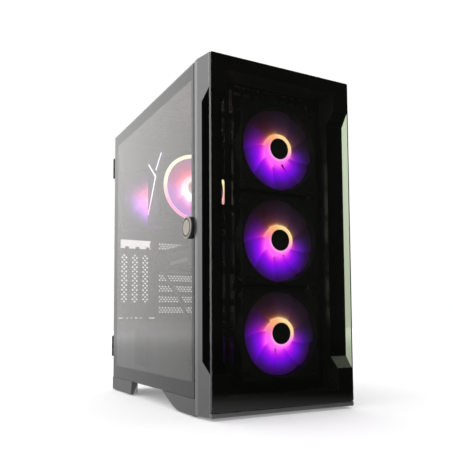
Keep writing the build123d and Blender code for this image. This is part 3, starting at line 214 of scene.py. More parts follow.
def bezel(name, colour):
    """Semi-gloss moulded panel; the walls of its side intakes carry painted shade, near-black and dull, for the
    shade inside the recesses.
    """
    g = material_graph(name)
    grain_height = g.noise(1700.0, 2.0)
    cloud = g.noise(11.0, 4.0)
    marks = g.noise(48.0, 5.0, 0.65, distortion=0.6)
    tone = g.mix(g.span(cloud, 0.0, 1.0, (0.3, 0.7)), scaled(colour, 0.88), scaled(colour, 1.14))
    gloss = g.math("ADD", g.span(marks, 0.24, 0.34), g.span(grain_height, -0.03, 0.03))
    shell = g.principled(tone, gloss, g.bump(grain_height, 0.35, 0.00004), Specular_IOR_Level=0.9,
                         Coat_Weight=0.4, Coat_Roughness=0.22)
    # painted shade: the intake walls are near-black with almost no specular, standing in for the shade inside the
    # recesses
    intake_painted_shade = g.principled(g.mix(grain_height, (0.002, 0.002, 0.0025), (0.004, 0.004, 0.005)), 0.95,
                        g.bump(grain_height, 0.5, 0.0001), Specular_IOR_Level=0.05)
    return g.done(g.mix_shader(intake_shade_mask(g), shell, intake_painted_shade))


def powder_coat(name, colour, rough=0.48):
    """Powder coat on sheet steel: orange peel with fine specks."""
    g = material_graph(name)
    peel = g.noise(520.0, 1.5, 0.4)
    specks = g.noise(3200.0, 2.0)
    cloud = g.noise(9.0, 3.0)
    tone = g.mix(g.span(specks, 0.0, 1.0, (0.35, 0.7)), scaled(colour, 0.75), scaled(colour, 1.3))
    gloss = g.math("ADD", g.span(cloud, rough - 0.05, rough + 0.05), g.span(specks, -0.04, 0.04))
    normal = g.bump(specks, 0.2, 0.00003, g.bump(peel, 0.4, 0.00012))
    return g.done(g.principled(tone, gloss, normal))


def rubber(name, colour):
    """Rubber: fine pores and a little dust."""
    g = material_graph(name)
    pores = g.noise(2600.0, 3.0, 0.7)
    dust = g.noise(40.0, 5.0, 0.7)
    tone = g.mix(g.span(dust, 0.0, 1.0, (0.45, 0.75)), colour, scaled(colour, 2.0))
    return g.done(g.principled(tone, g.span(dust, 0.7, 0.9), g.bump(pores, 0.5, 0.00008)))


def brushed(name, colour, stretch, rough=0.3, metal=1.0):
    """Brushed or drawn metal: fine lines along one direction, a little tarnish."""
    g = material_graph(name)
    lines = g.noise(1.0, 4.0, 0.6, g.stretched(stretch))
    tarnish = g.noise(60.0, 4.0, 0.6)
    tone = g.mix(g.span(tarnish, 0.0, 1.0, (0.35, 0.75)), colour, scaled(colour, 0.72))
    gloss = g.math("ADD", g.span(lines, rough - 0.1, rough + 0.12), g.span(tarnish, -0.03, 0.05))
    return g.done(g.principled(tone, gloss, g.bump(lines, 0.25, 0.00003), Metallic=metal))


def circuit_board(name):
    """Dark solder mask over copper traces, with gold pads and vias."""
    g = material_graph(name)
    _, y, z = g.axes()
    traces_per_metre, bend, slope = 620.0, 0.02, 0.35
    run = g.math("ADD", y, g.product(g.span(g.noise(26.0, 1.0), -1.0, 1.0), bend))
    run = g.math("ADD", run, g.product(z, slope))
    trace = g.math("GREATER_THAN", g.math("FRACT", g.product(run, traces_per_metre)), 0.56)
    copper = g.product(trace, g.math("GREATER_THAN", g.noise(38.0, 1.0), 0.47))
    pads = g.math("LESS_THAN", g.cells(210.0), 0.13)
    gold = g.product(pads, g.math("GREATER_THAN", g.noise(50.0, 1.0), 0.52))
    tone = g.mix(copper, (0.006, 0.008, 0.009), (0.018, 0.022, 0.024))
    tone = g.mix(gold, tone, (0.42, 0.31, 0.13))
    height = g.math("ADD", g.product(copper, 0.6), gold)
    gloss = g.math("ADD", g.span(g.noise(900.0), 0.32, 0.42), g.product(gold, -0.08))
    return g.done(g.principled(tone, gloss, g.bump(height, 0.5, 0.00006)))


def glass(name, tint, smudge):
    """Tempered glass, tinted in the mass, with faint wipe marks. Lamps shine through it."""
    g = material_graph(name)
    wipe = g.noise(1.0, 4.0, 0.6, g.stretched((30.0, 9.0, 30.0)))
    body = g.principled(tint, g.span(wipe, 0.0, smudge, (0.45, 0.8)), IOR=1.5, Transmission_Weight=1.0)
    once = (*[math.sqrt(c) for c in tint], 1)
    through = g.add("ShaderNodeBsdfTransparent", {}, {"Color": once}).outputs[0]
    return g.done(g.mix_shader(g.light_path("Is Shadow Ray"), body, through))


def printed(name):
    """Ceramic ink fired on the glass."""
    g = material_graph(name)
    dots = g.cells(900.0)
    tone = g.mix(g.noise(30.0, 4.0), (0.006, 0.006, 0.007), (0.014, 0.013, 0.015))
    return g.done(g.principled(tone, g.span(dots, 0.5, 0.68), g.bump(dots, 0.3, 0.00003)))


def weave(name, pitch, colour):
    """Fine woven mesh: threads both ways, open between them."""
    g = material_graph(name)
    x, y, _ = g.axes()
    warp = g.math("ABSOLUTE", g.math("SINE", g.product(x, math.pi / pitch)))
    weft = g.math("ABSOLUTE", g.math("SINE", g.product(y, math.pi / pitch)))
    thread = 0.55
    is_open = g.product(g.math("GREATER_THAN", warp, thread), g.math("GREATER_THAN", weft, thread))
    tone = g.mix(g.noise(300.0), colour, scaled(colour, 1.8))
    gloss = g.span(g.noise(1500.0), 0.5, 0.7)
    body = g.principled(tone, gloss, g.bump(g.math("ADD", warp, weft), 0.6, 0.0002))
    return g.done(g.mix_shader(is_open, body, g.add("ShaderNodeBsdfTransparent").outputs[0]))


def braided(name, colour):
    """Braided sleeve: strands crossing at a slant."""
    g = material_graph(name)
    x, y, z = g.axes()
    turns = 3600.0
    one = g.math("SINE", g.product(g.math("ADD", g.math("ADD", x, y), z), turns))
    two = g.math("SINE", g.product(g.math("SUBTRACT", g.math("SUBTRACT", z, y), x), turns))
    strands = g.math("MAXIMUM", one, two)
    tone = g.mix(g.span(strands, 0.0, 1.0, (-0.4, 1.0)), scaled(colour, 0.5), scaled(colour, 1.7))
    gloss = g.span(g.noise(800.0), 0.5, 0.7)
    return g.done(g.principled(tone, gloss, g.bump(strands, 0.7, 0.0002), Sheen_Weight=0.2))


def turned_knob(name, cap, side, centre):
    """Satin turned cap with concentric tool marks inside a dark groove, and a black rim."""
    groove_radius, groove_half, cap_depth, marks_per_metre = 0.0115, 0.0009, -0.0036, 9000.0
    g = material_graph(name)
    offset = g.add("ShaderNodeVectorMath", {"operation": "SUBTRACT"}, {0: g.place, 1: centre}).outputs[0]
    x, y, z = g.axes(offset)
    radius = g.distance(y, z)
    rings = g.math("SINE", g.product(radius, marks_per_metre))
    from_groove = g.math("ABSOLUTE", g.math("SUBTRACT", radius, groove_radius))
    off_groove = g.math("GREATER_THAN", from_groove, groove_half)
    bare = g.product(off_groove, g.math("LESS_THAN", x, cap_depth))
    wear = g.noise(120.0, 4.0)
    metal = g.principled(g.mix(wear, cap, scaled(cap, 0.82)), g.span(wear, 0.33, 0.45),
                         g.bump(rings, 0.3, 0.00003), Metallic=0.75)
    black = g.principled(g.mix(wear, side, scaled(side, 1.7)), g.span(wear, 0.3, 0.42),
                         g.bump(rings, 0.2, 0.00003))
    return g.done(g.mix_shader(bare, black, metal))


# ---------------------------------------------------------------- lamps, and a painted glint
# Light of a fan's hub seen in its frosted blades, on the strong and on the faint side: (radius in mm, colour).
FRONT_STRONG = (
    (15, (0.92, 0.30, 0.92)), (18, (0.90, 0.15, 0.97)), (21, (0.85, 0.08, 0.97)), (24, (0.70, 0.035, 0.96)),
    (28, (0.45, 0.006, 0.92)), (32, (0.27, 0.001, 0.84)), (36, (0.17, 0.001, 0.76)),
    (40, (0.105, 0.001, 0.60)), (44, (0.065, 0.001, 0.36)), (48, (0.04, 0.001, 0.20)),
    (52, (0.025, 0.001, 0.10)), (BLADE_TIP, (0.014, 0.001, 0.05)))
FRONT_FAINT = (
    (15, (0.85, 0.50, 0.34)), (18, (0.88, 0.58, 0.36)), (21, (0.80, 0.52, 0.34)), (22.5, (0.30, 0.15, 0.11)),
    (25, (0.14, 0.045, 0.05)), (28, (0.08, 0.022, 0.04)), (32, (0.042, 0.010, 0.04)),
    (40, (0.017, 0.004, 0.02)), (48, (0.009, 0.003, 0.012)), (BLADE_TIP, (0.005, 0.002, 0.008)))
REAR_STRONG = (
    (12, (0.80, 0.26, 0.66)), (20, (0.62, 0.15, 0.58)), (26, (0.42, 0.11, 0.52)), (32, (0.29, 0.08, 0.45)),
    (38, (0.15, 0.04, 0.27)), (44, (0.055, 0.016, 0.11)), (52, (0.015, 0.005, 0.03)),
    (BLADE_TIP, (0.01, 0.004, 0.02)))
REAR_FAINT = (
    (12, (0.75, 0.26, 0.56)), (20, (0.52, 0.14, 0.42)), (26, (0.26, 0.07, 0.28)), (32, (0.12, 0.035, 0.17)),
    (38, (0.05, 0.014, 0.08)), (46, (0.015, 0.004, 0.03)), (BLADE_TIP, (0.006, 0.002, 0.012)))
COOLER_STRONG = (
    (11, (0.26, 0.21, 0.24)), (15, (0.99, 0.90, 0.97)), (20, (0.95, 0.74, 0.90)), (25, (0.66, 0.25, 0.54)),
    (34, (0.37, 0.075, 0.33)), (44, (0.24, 0.06, 0.32)), (52, (0.19, 0.07, 0.33)),
    (BLADE_TIP, (0.14, 0.06, 0.26)))
COOLER_FAINT = (
    (11, (0.26, 0.21, 0.24)), (15, (0.99, 0.90, 0.95)), (20, (0.95, 0.62, 0.72)), (25, (0.64, 0.16, 0.28)),
    (34, (0.33, 0.05, 0.17)), (44, (0.20, 0.045, 0.15)), (BLADE_TIP, (0.11, 0.04, 0.13)))
LOBE_ANGLE = math.radians(252)        # the light is strong on this side
BLUSH_ANGLE = math.radians(140)       # and redder on this one
BLUSH = (1.0, 0.45, 0.42)
RING_STOPS = ((0.0, (0.55, 0.16, 0.42)), (0.22, (0.80, 0.22, 0.46)), (0.42, (0.88, 0.42, 0.42)),
              (0.55, (0.92, 0.68, 0.45)), (0.72, (0.88, 0.82, 0.52)), (1.0, (0.72, 0.78, 0.45)))
# colours of the painted glint on the heatsink's side, from bottom to top
FIN_GLINT_STOPS = ((0.0, (0.80, 0.32, 0.50)), (0.2, (0.85, 0.55, 0.85)), (0.45, (0.9, 0.82, 1.0)),
               (0.75, (0.86, 0.84, 1.0)), (1.0, (0.55, 0.62, 1.0)))


def lit_blades(name, strength, strong_stops, faint_stops):
    """Frosted blades. The hub's light fades outwards, strong towards one side and faint towards the other."""
    g = material_graph(name)
    x, _, z = g.axes()
    radius = g.distance(x, z)
    reach = g.math("DIVIDE", radius, BLADE_TIP * MM)
    share = g.span(g.toward(x, z, radius, LOBE_ANGLE), 0.0, 1.0, (-0.62, 0.5), True)
    blush = g.span(g.toward(x, z, radius, BLUSH_ANGLE), 0.0, 0.75, (0.55, 1.0), True)
    strong = g.ramp(reach, [(r / BLADE_TIP, c) for r, c in strong_stops])
    faint = g.ramp(reach, [(r / BLADE_TIP, c) for r, c in faint_stops])
    frost = g.noise(420.0, 3.0, 0.6)
    light = g.mix(share, faint, strong)
    light = g.mix(blush, light, g.mix(1.0, light, BLUSH, "MULTIPLY"))
    light = g.mix(g.span(frost, 0.0, 0.12), light, (0.0, 0.0, 0.0))
    tone = g.mix(g.span(frost, 0.0, 1.0, (0.3, 0.7)), (0.035, 0.032, 0.04), (0.055, 0.05, 0.06))
    return g.done(g.principled(tone, g.span(frost, 0.3, 0.44), g.bump(frost, 0.3, 0.00008),
                               Emission_Color=light, Emission_Strength=strength))


def glowing_by_height(name, strength, stops, bottom, top, grain, shades, gloss, relief):
    """White surface glowing in a colour that changes from bottom to top: the processor fan ring's lamp, and the
    painted glint on the heatsink's side.
    """
    g = material_graph(name)
    light = g.ramp(g.span(g.axes()["Z"], 0.0, 1.0, (bottom, top)), stops)
    frost = g.noise(grain, 2.0)
    return g.done(g.principled(g.mix(frost, *shades), g.span(frost, *gloss), g.bump(frost, 0.2, relief),
                               Emission_Color=light, Emission_Strength=strength))


# ---------------------------------------------------------------- materials
knob_low, knob_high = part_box("door_knob")
KNOB_RIM = 0.0052         # depth of the plane that the knob's cap stands out from
RING_REACH = 0.059        # half height of the processor fan's ring
knob_face = Vector((knob_low.x + KNOB_RIM, (knob_low.y + knob_high.y) / 2, (knob_low.z + knob_high.z) / 2))
# height range of the painted glint on the heatsink's side
glint_low, glint_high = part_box("cooler_light")

# by slot; the nodes front_bezel, front_glass and door_glass have one of their own
made = {
    "moulded_black": moulded("moulded_black", (0.042, 0.040, 0.044), 0.38, Specular_IOR_Level=0.62),
    "front_bezel": bezel("bezel_black", (0.040, 0.039, 0.042)),
    "front_glass": glass("front_glass_tint", (0.43, 0.49, 0.36), 0.02),
    "door_glass": glass("door_glass_tint", (0.52, 0.50, 0.49), 0.04),
    "printed_black": printed("printed_black"),
    "black_steel": powder_coat("black_steel", (0.014, 0.014, 0.0155)),
    "black_rubber": rubber("black_rubber", (0.015, 0.015, 0.015)),
    "socket_steel": brushed("socket_steel", (0.45, 0.45, 0.46), (500.0, 500.0, 4200.0), 0.32),
    "circuit_board": circuit_board("circuit_board"),
    "button_black": moulded("button_black", (0.03, 0.03, 0.033), 0.24, 3000.0, 0.00002),
    "knob_metal": turned_knob("knob_metal", (0.31, 0.285, 0.25), (0.012, 0.012, 0.013), knob_face),
    "screw_steel": brushed("screw_steel", (0.52, 0.52, 0.51), (3000.0, 3000.0, 3000.0), 0.3),
    "screw_black": brushed("screw_black", (0.05, 0.05, 0.052), (2500.0, 600.0, 2500.0), 0.4, 0.6),
    "filter_mesh": weave("filter_mesh", 0.0018, (0.02, 0.02, 0.021)),
    "fan_black": moulded("fan_black", (0.010, 0.010, 0.012), 0.55),
    "fin_aluminium": brushed("fin_aluminium", (0.10, 0.10, 0.105), (300.0, 4000.0, 300.0), 0.38),
    "pipe_nickel": brushed("pipe_nickel", (0.62, 0.60, 0.57), (200.0, 3000.0, 3000.0), 0.22),
    # light_strip is a painted glint, not a lamp: it glows where the heatsink's fin edges catch the fans' light
    "light_strip": glowing_by_height("light_strip", 3.2, FIN_GLINT_STOPS, glint_low.z, glint_high.z, 1200.0,
                                ((0.8, 0.8, 0.82), (0.88, 0.88, 0.9)), (0.3, 0.45), 0.00004),
    "socket_plastic": moulded("socket_plastic", (0.03, 0.03, 0.034), 0.45),
    "memory_aluminium": brushed("memory_aluminium", (0.09, 0.09, 0.10), (300.0, 300.0, 4500.0), 0.34),
    "dark_aluminium": brushed("dark_aluminium", (0.09, 0.09, 0.10), (300.0, 4500.0, 300.0), 0.36),
    "card_steel": powder_coat("card_steel", (0.05, 0.05, 0.055), 0.4),
    "card_blades": moulded("card_blades", (0.022, 0.022, 0.025), 0.36),
    "drive_aluminium": brushed("drive_aluminium", (0.5, 0.5, 0.52), (900.0, 900.0, 900.0), 0.4),
    "cable_sleeve": braided("cable_sleeve", (0.022, 0.022, 0.025)),
}
hub_cap = moulded("fan_hub_cap", (0.008, 0.007, 0.009), 0.42)
front_blades = lit_blades("front_fan_blades", 3.0, FRONT_STRONG, FRONT_FAINT)
rear_blades = lit_blades("rear_fan_blades", 3.4, REAR_STRONG, REAR_FAINT)
cooler_blades = lit_blades("processor_fan_blades", 3.4, COOLER_STRONG, COOLER_FAINT)
ring_light = glowing_by_height("processor_fan_ring", 2.6, RING_STOPS, -RING_REACH, RING_REACH, 900.0,
                          ((0.75, 0.74, 0.76), (0.85, 0.84, 0.86)), (0.35, 0.5), 0.00005)
grey_label = moulded("pale_grey_plastic", (0.42, 0.42, 0.43), 0.4)
gold_contact = brushed("gold_contact", (0.62, 0.46, 0.2), (900.0, 900.0, 900.0), 0.3)
chip_black = moulded("chip_black", (0.014, 0.014, 0.015), 0.5, 2500.0, 0.00003)

slots = {s["node"]: s["material_slot"] for s in frame["record"]["subparts"]}
for name, thing in nodes.items():
    thing.data.materials.clear()
    thing.data.materials.append(made[name] if name in made else made.get(slots[name], front_blades))


# ---------------------------------------------------------------- meshes
def piece(name, verts, faces, body, materials, indices=None, origin=(0, 0, 0), sharp=32):
    """A new mesh object at origin, riding on a body. Edges sharper than sharp degrees stay crisp."""
    mesh = bpy.data.meshes.new(name)
    mesh.from_pydata([Vector(v) for v in verts], [], faces)
    for material in materials:
        mesh.materials.append(material)
    if indices:
        mesh.polygons.foreach_set("material_index", indices)
    mesh.polygons.foreach_set("use_smooth", [True] * len(mesh.polygons))
    mesh.set_sharp_from_angle(angle=math.radians(sharp))
    mesh.validate()
    made_object = bpy.data.objects.new(name, mesh)
    made_object.location = origin
    scene.collection.objects.link(made_object)
    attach(made_object, body)
    return made_object


def revolved(profile, segments, close=False):
    """Points (radius, along) turned about the axis: vertices (x, y, along), faces and their profile index."""
    verts, faces, rows = [], [], []
    for i in range(segments):
        angle = 2 * math.pi * i / segments
        verts += [(r * math.cos(angle), r * math.sin(angle), a) for r, a in profile]
    count = len(profile)
    for i in range(segments):
        here, following = i * count, (i + 1) % segments * count
        for k in range(count if close else count - 1):
            j = (k + 1) % count
            faces.append((here + k, following + k, following + j, here + j))
            rows.append(k)
    return verts, faces, rows


def facing_front(verts, faces):
    """Vertices in mm with their axis along z, turned so that the axis runs along Y, in metres."""
    return [(x * MM, a * MM, y * MM) for x, y, a in verts], [tuple(reversed(face)) for face in faces]


def blade(lean, hub, tip, length, rise, chord, sweep):
    """One closed blade, curved in two ways, turned by lean about the axis: vertices and faces, in mm."""
    across, along, middle = 12, 9, length / 2 + 0.6
    root = hub - 1.0
    verts, faces = [], []
    for side in (-1, 1):
        for i in range(along + 1):
            u = i / along
            radius = root + (tip - root) * u
            width = math.radians(chord * (1.0 - 0.06 * math.sin(math.pi * u)))
            for j in range(across + 1):
                v = j / across
                angle = lean + (math.radians(sweep * u ** 1.5) + width * (v - 0.5))
                height = middle + rise * (1.0 - 0.18 * u) * (v - 0.5) - 1.6 * math.sin(math.pi * v)
                thick = 0.15 + 0.5 * math.sin(math.pi * v) ** 0.6
                verts.append((radius * math.cos(angle), radius * math.sin(angle), height + side * thick))
    row, sheet = across + 1, (across + 1) * (along + 1)
    for i in range(along):
        for j in range(across):
            a = i * row + j
            faces.append((a, a + 1, a + row + 1, a + row))
            b = a + sheet
            faces.append((b, b + row, b + row + 1, b + 1))
    for j in range(across):
        a, b = j, along * row + j
        faces.append((a, a + sheet, a + sheet + 1, a + 1))
        faces.append((b, b + 1, b + sheet + 1, b + sheet))
    for i in range(along):
        a, b = i * row, i * row + across
        faces.append((a, a + row, a + row + sheet, a + sheet))
        faces.append((b, b + sheet, b + row + sheet, b + row))
    return verts, faces


def fan_shape(hub, cap, tip, length, rise, blades, chord, sweep, shaft):
    """Hub with cupped front, blades and shaft. In mm and degrees, the axis along z, the front at 0."""
    axis, shaft_radius = 0.01, 1.5
    profile = [(axis, 0.5), (cap * 0.55, 0.5), (cap * 0.58, 0.2), (cap * 0.86, 0.2), (cap * 0.9, 0.0),
               (cap, 0.0), (cap + 0.3, 0.5), (cap + 1.0, 0.5), (hub - 1.4, 0.3), (hub - 0.4, 0.9), (hub, 2.4),
               (hub, length), (shaft_radius, length), (shaft_radius, length + shaft), (axis, length + shaft)]
    cap_rows = 6
    verts, faces, rows = revolved(profile, 56)
    indices = [1 if row < cap_rows else 0 for row in rows]
    for number in range(blades):
        start = len(verts)
        more_verts, more_faces = blade(2 * math.pi * number / blades, hub, tip, length, rise, chord, sweep)
        verts += more_verts
        faces += [tuple(start + v for v in face) for face in more_faces]
    indices += [0] * (len(faces) - len(indices))
    return verts, faces, indices


def fan_rotor(rotor, centre, upright, shape, material, cap_material):
    """Replaces a CAD rotor. Upright fans face the front; the others face down."""
    verts, faces, indices = fan_shape(**shape)
    if upright:
        verts, faces = facing_front(verts, faces)
    else:
        verts = [(x * MM, y * MM, a * MM) for x, y, a in verts]
    thing = piece(rotor + "_blades", verts, faces, rotor, [material, cap_material], indices, centre, 38)
    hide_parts(rotor)


LARGE_FAN = {"hub": 20.5, "cap": 14.2, "tip": BLADE_TIP, "length": 20.4, "rise": 12.5, "blades": 9,
             "chord": 57.0, "sweep": 16.0}
CARD_FAN = {"hub": 14.0, "cap": 11.5, "tip": 39.2, "length": 10.8, "rise": 7.4, "blades": 11,
            "chord": 30.0, "sweep": 18.0, "shaft": 3.0}
SUPPLY_FAN = {"hub": 18.0, "cap": 15.0, "tip": 56.4, "length": 10.8, "rise": 8.4, "blades": 9,
              "chord": 36.0, "sweep": 14.0, "shaft": 2.4}
joint_places = {j["child"]: j.get("pos_m") for j in frame["joints"]}
for rotor, shaft, blades, cap in (
        ("front_fan_rotor_1", 4.0, front_blades, hub_cap), ("front_fan_rotor_2", 4.0, front_blades, hub_cap),
        ("front_fan_rotor_3", 4.0, front_blades, hub_cap), ("rear_fan_rotor", 3.6, rear_blades, rear_blades),
        ("cpu_fan_rotor", 3.6, cooler_blades, cooler_blades)):
    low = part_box(rotor)[0]
    x, _, z = joint_places[rotor]
    shape = {**LARGE_FAN, "shaft": shaft}
    fan_rotor(rotor, (x, low.y, z), True, shape, blades, cap)
for rotor, shape in (("graphics_fan_rotor_1", CARD_FAN), ("graphics_fan_rotor_2", CARD_FAN),
                     ("psu_fan_rotor", SUPPLY_FAN)):
    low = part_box(rotor)[0]
    x, y, _ = joint_places[rotor]
    fan_rotor(rotor, (x, y, low.z), False, shape, made["card_blades"], hub_cap)

# lit ring on the front of the processor fan's frame
RING_PROFILE = ((53.2, 0.0), (53.2, -1.2), (53.9, -1.9), (58.6, -1.9), (59.4, -1.2), (59.4, 0.0))
x, _, z = joint_places["cpu_fan_rotor"]
frame_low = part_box("cpu_fan_frame")[0]
verts, faces, _ = revolved(RING_PROFILE, 96, close=True)
verts, faces = facing_front(verts, faces)
piece("processor_fan_ring", verts, faces, "case", [ring_light], origin=(x, frame_low.y, z))


def chamfered_box(low, high, edge):
    """Box with chamfered edges: vertices and faces."""
    centre = [(a + b) / 2 for a, b in zip(low, high)]
    half = [(b - a) / 2 for a, b in zip(low, high)]
    edge = min(edge, *(h * 0.45 for h in half))
    ends = (-1, 1)
    corners = [(sx, sy, sz) for sx in ends for sy in ends for sz in ends]
    verts = []
    for signs in corners:
        for axis in range(3):
            verts.append(tuple(c + s * (h if k == axis else h - edge)
                               for k, (c, s, h) in enumerate(zip(centre, signs, half))))

    def corner(signs, axis):
        return corners.index(tuple(signs)) * 3 + axis

    faces = []
    for axis in range(3):
        b, c = (axis + 1) % 3, (axis + 2) % 3
        for s in ends:
            ring = []
            for sb, sc in ((-1, -1), (1, -1), (1, 1), (-1, 1)):
                signs = [0, 0, 0]
                signs[axis], signs[b], signs[c] = s, sb, sc
                ring.append(corner(signs, axis))
            faces.append(tuple(ring if s > 0 else reversed(ring)))
        for sb in ends:
            for sc in ends:
                pairs = []
                for s in ends:
                    signs = [0, 0, 0]
                    signs[axis], signs[b], signs[c] = s, sb, sc
                    pairs.append((corner(signs, b), corner(signs, c)))
                quad = (pairs[0][0], pairs[1][0], pairs[1][1], pairs[0][1])
                faces.append(tuple(quad if sb * sc > 0 else reversed(quad)))
    for signs in corners:
        tri = [corner(signs, axis) for axis in range(3)]
        faces.append(tuple(tri if math.prod(signs) > 0 else reversed(tri)))
    return verts, faces


def joined(parts):
    """Several (vertices, faces, material index) as one mesh."""
    verts, faces, indices = [], [], []
    for part_verts, part_faces, index in parts:
        shift = len(verts)
        verts += part_verts
        faces += [tuple(v + shift for v in face) for face in part_faces]
        indices += [index] * len(part_faces)
    return verts, faces, indices


def at(d):
    """Y of a point this many mm behind the front glass face."""
    return FRONT_Y + d * MM


def box_mm(x, d, z, edge=0.3):
    """Chamfered box between two X, two depths behind the front glass face and two heights, in mm."""
    return chamfered_box((x[0] * MM, at(d[0]), z[0] * MM), (x[1] * MM, at(d[1]), z[1] * MM), edge * MM)


# Small parts on the motherboard. d is the depth behind the front glass face, all in mm.
CHIP, CAN, GOLD, PALE = range(4)                  # their places in the piece's list of materials
CHOKES, CHOKE_D, CHOKE_Z, CHOKE_PITCH, CHOKE_SIZE = 9, (357.8, 361.4), 317, 11.6, 8.6
CAN_ROWS = ((325.5, 2.8, 7.8), (295.5, 2.6, 7.0))  # z, radius and length of cans, taken in turn
ROW_CANS, ROW_D, ROW_PITCH = 6, 300, 9.0
CANS = ((352, 163), (361, 163), (370, 163), (352, 174), (361, 174), (186, 300), (186, 311), (186, 414),
        (176, 425), (196, 150), (206, 150))        # d, z
CHIPS = ((170, 290, 12, 12), (176, 262, 9, 9), (330, 155, 10, 10), (355, 200, 11, 11), (186, 240, 7, 7),
         (300, 225, 7, 5), (352, 290, 6, 9), (168, 400, 7, 7), (320, 205, 6, 6))      # d, z, width, height
HEADER_D, HEADER_Z, HEADER_LENGTH = range(160, 350, 17), (138.6, 140.8), 11
PINS, PIN_START, PIN_PITCH, PIN_Z, PIN_SIZE = 4, 1.4, 2.54, 139.2, 0.64
TAKEN = ((300, 392, 282, 445), (200, 240, 288, 440), (250, 345, 136, 280), (158, 207, 176, 232),
         (140, 160, 150, 385), (210, 305, 255, 280), (140, 175, 430, 445))            # d from, to, z from, to
SCREWS_D, SCREWS_Z, SCREW_CLEAR = (150, 225, 378), (145, 281, 434), 6
SMALL_SIZES = ((1.6, 0.8), (0.8, 1.6), (2.0, 1.2), (3.0, 1.6), (1.2, 2.0))
SMALL_COUNT = 120
face_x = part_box("motherboard")[0].x / MM


def can(d, z, radius, length):
    """Capacitor standing on the board: crimped top edge and a seat."""
    profile = [(radius * 0.95, 0.0), (radius, 0.6), (radius, 1.2), (radius * 0.9, 1.6), (radius, 2.1),
               (radius, length - 0.8), (radius * 0.9, length), (radius * 0.5, length - 0.2),
               (0.01, length - 0.2)]
    verts, faces, _ = revolved(profile, 20)
    return [((face_x - a) * MM, at(d) + p * MM, (z + q) * MM) for p, q, a in verts], faces


def on_board(height, d, z, edge):
    return box_mm((face_x - height, face_x), d, z, edge)


def is_taken(d, z):
    near_screw = any(math.hypot(d - sd, z - sz) < SCREW_CLEAR for sd in SCREWS_D for sz in SCREWS_Z)
    return near_screw or any(a < d < b and c < z < e for a, b, c, e in TAKEN)


dice = random.Random(11)
parts = []
for i in range(CHOKES):
    z = CHOKE_Z + i * CHOKE_PITCH
    parts.append((*on_board(6.5, CHOKE_D, (z, z + CHOKE_SIZE), 0.5), CHIP))
for i in range(ROW_CANS):
    z, radius, length = CAN_ROWS[i % 2]
    parts.append((*can(ROW_D + i * ROW_PITCH, z, radius, length), CAN))
for d, z in CANS:
    parts.append((*can(d, z, 3.1, 8.5), CAN))
for d, z, w, h in CHIPS:
    parts.append((*on_board(1.3, (d - w / 2, d + w / 2), (z - h / 2, z + h / 2), 0.2), CHIP))
for d in HEADER_D:
    parts.append((*on_board(3.2, (d, d + HEADER_LENGTH), HEADER_Z, 0.2), CHIP))
    for k in range(PINS):
        pin = d + PIN_START + k * PIN_PITCH
        pin_d, pin_z = (pin, pin + PIN_SIZE), (PIN_Z, PIN_Z + PIN_SIZE)
        parts.append((*box_mm((face_x - 8.6, face_x - 3.2), pin_d, pin_z, 0.05), GOLD))
placed = 0
while placed < SMALL_COUNT:
    d, z = dice.uniform(146, 383), dice.uniform(143, 438)
    if is_taken(d, z):
        continue
    w, h = dice.choice(SMALL_SIZES)
    small = on_board(0.7, (d - w / 2, d + w / 2), (z - h / 2, z + h / 2), 0.1)
    parts.append((*small, CHIP if placed % 3 else PALE))
    placed += 1
verts, faces, indices = joined(parts)
piece("board_components", verts, faces, "case",
      [chip_black, made["screw_steel"], gold_contact, grey_label], indices, sharp=25)

# pale strip on the long side of the graphics card
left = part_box("graphics_card_shroud")[0].x / MM
verts, faces = box_mm((left - 0.7, left), (241, 318), (222.6, 229.2))
piece("graphics_card_strip", verts, faces, "case", [grey_label])

# ---------------------------------------------------------------- stage
# The floor's reflection is darker towards the viewer's side, and rises to the backdrop's brightness far away.
TOWARD_FRONT = Vector((0.5, -0.866, 0.0))
bpy.ops.mesh.primitive_plane_add(size=14.0, location=(0, 0, -0.0004))
floor = bpy.context.object
floor.name = "studio_floor"
g = material_graph("studio_floor")
spot = g.add("ShaderNodeNewGeometry").outputs["Position"]
glossy = g.light_path("Is Glossy Ray")
dark_share = g.product(g.span(g.dot(spot, TOWARD_FRONT), 0.0, 0.97, (0.10, 0.42), True), glossy)
reach = g.add("ShaderNodeVectorMath", {"operation": "LENGTH"}, {0: spot}).outputs["Value"]
glow = g.span(reach, 0.82, 1.34, (0.3, 4.5), True)
sheen = g.add("ShaderNodeEmission", {}, {"Strength": glow}).outputs[0]
pale = g.principled(g.mix(g.noise(60.0, 4.0), (0.86, 0.86, 0.865), (0.90, 0.90, 0.905)), 0.9,
                    Specular_IOR_Level=0.1, Emission_Color=(1.0, 1.0, 1.0, 1.0), Emission_Strength=0.22)
black = g.principled((0.0, 0.0, 0.0), 1.0, Specular_IOR_Level=0.0)
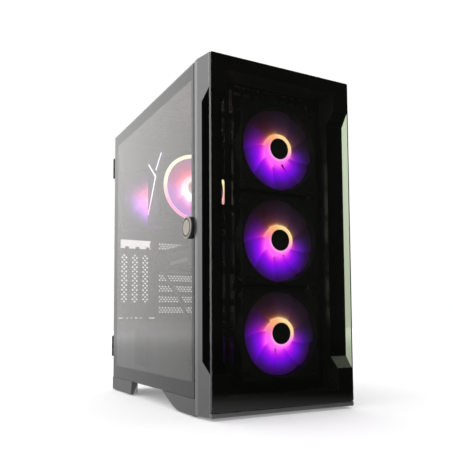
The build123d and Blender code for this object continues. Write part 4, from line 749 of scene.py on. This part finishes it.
floor.data.materials.append(g.done(g.mix_shader(dark_share, g.mix_shader(glossy, pale, sheen), black)))

# ---------------------------------------------------------------- light
# A white studio: dark in front of the case, a little dimmer overhead, on the right and at the horizon.
world = bpy.data.worlds.new("studio")
scene.world = world
sky = Graph(world, "Generated")
rightward, _, upward = sky.axes()
in_front = sky.span(sky.dot(sky.place, TOWARD_FRONT), 0.0, 1.0, (0.15, 0.85), True)
overhead = sky.span(upward, 1.0, 0.72, (0.25, 1.0), True)
aside = sky.span(rightward, 1.0, 0.8, (0.1, 0.8), True)
horizon = sky.span(upward, 1.28, 1.75, (-0.02, 0.30), True)
FRONT_DIM, BACKDROP = 0.045, 1.02
lighting = sky.mix_number(in_front, sky.product(overhead, aside, horizon), FRONT_DIM)
strength = sky.mix_number(sky.light_path("Is Camera Ray"), lighting, BACKDROP)
background = sky.add("ShaderNodeBackground", {}, {"Color": (1.0, 0.995, 0.99, 1.0), "Strength": strength})
sky.done(background.outputs[0], "ShaderNodeOutputWorld")
scene.view_settings.view_transform = "Standard"
scene.view_settings.look = "None"

# ---------------------------------------------------------------- camera
CAMERA_PLACE = Vector((-0.42282, -0.82582, 0.12135))
CAMERA_FORWARD = Vector((0.471625, 0.879114, 0.068762)).normalized()
CAMERA_ROLL = math.radians(-0.3318)
camera = bpy.data.cameras.new("camera")
camera.lens, camera.sensor_width = 45.17, 36.0
camera.shift_x, camera.shift_y = -0.00424, 0.1233
camera.clip_start, camera.clip_end = 0.05, 60.0
view = bpy.data.objects.new("camera", camera)
scene.collection.objects.link(view)
scene.camera = view
level_right = CAMERA_FORWARD.cross(Vector((0, 0, 1))).normalized()
level_up = level_right.cross(CAMERA_FORWARD)
right = level_right * math.cos(CAMERA_ROLL) + level_up * math.sin(CAMERA_ROLL)
up = level_up * math.cos(CAMERA_ROLL) - level_right * math.sin(CAMERA_ROLL)
turn = Matrix((right, up, -CAMERA_FORWARD)).transposed()
view.matrix_world = Matrix.Translation(CAMERA_PLACE) @ turn.to_4x4()
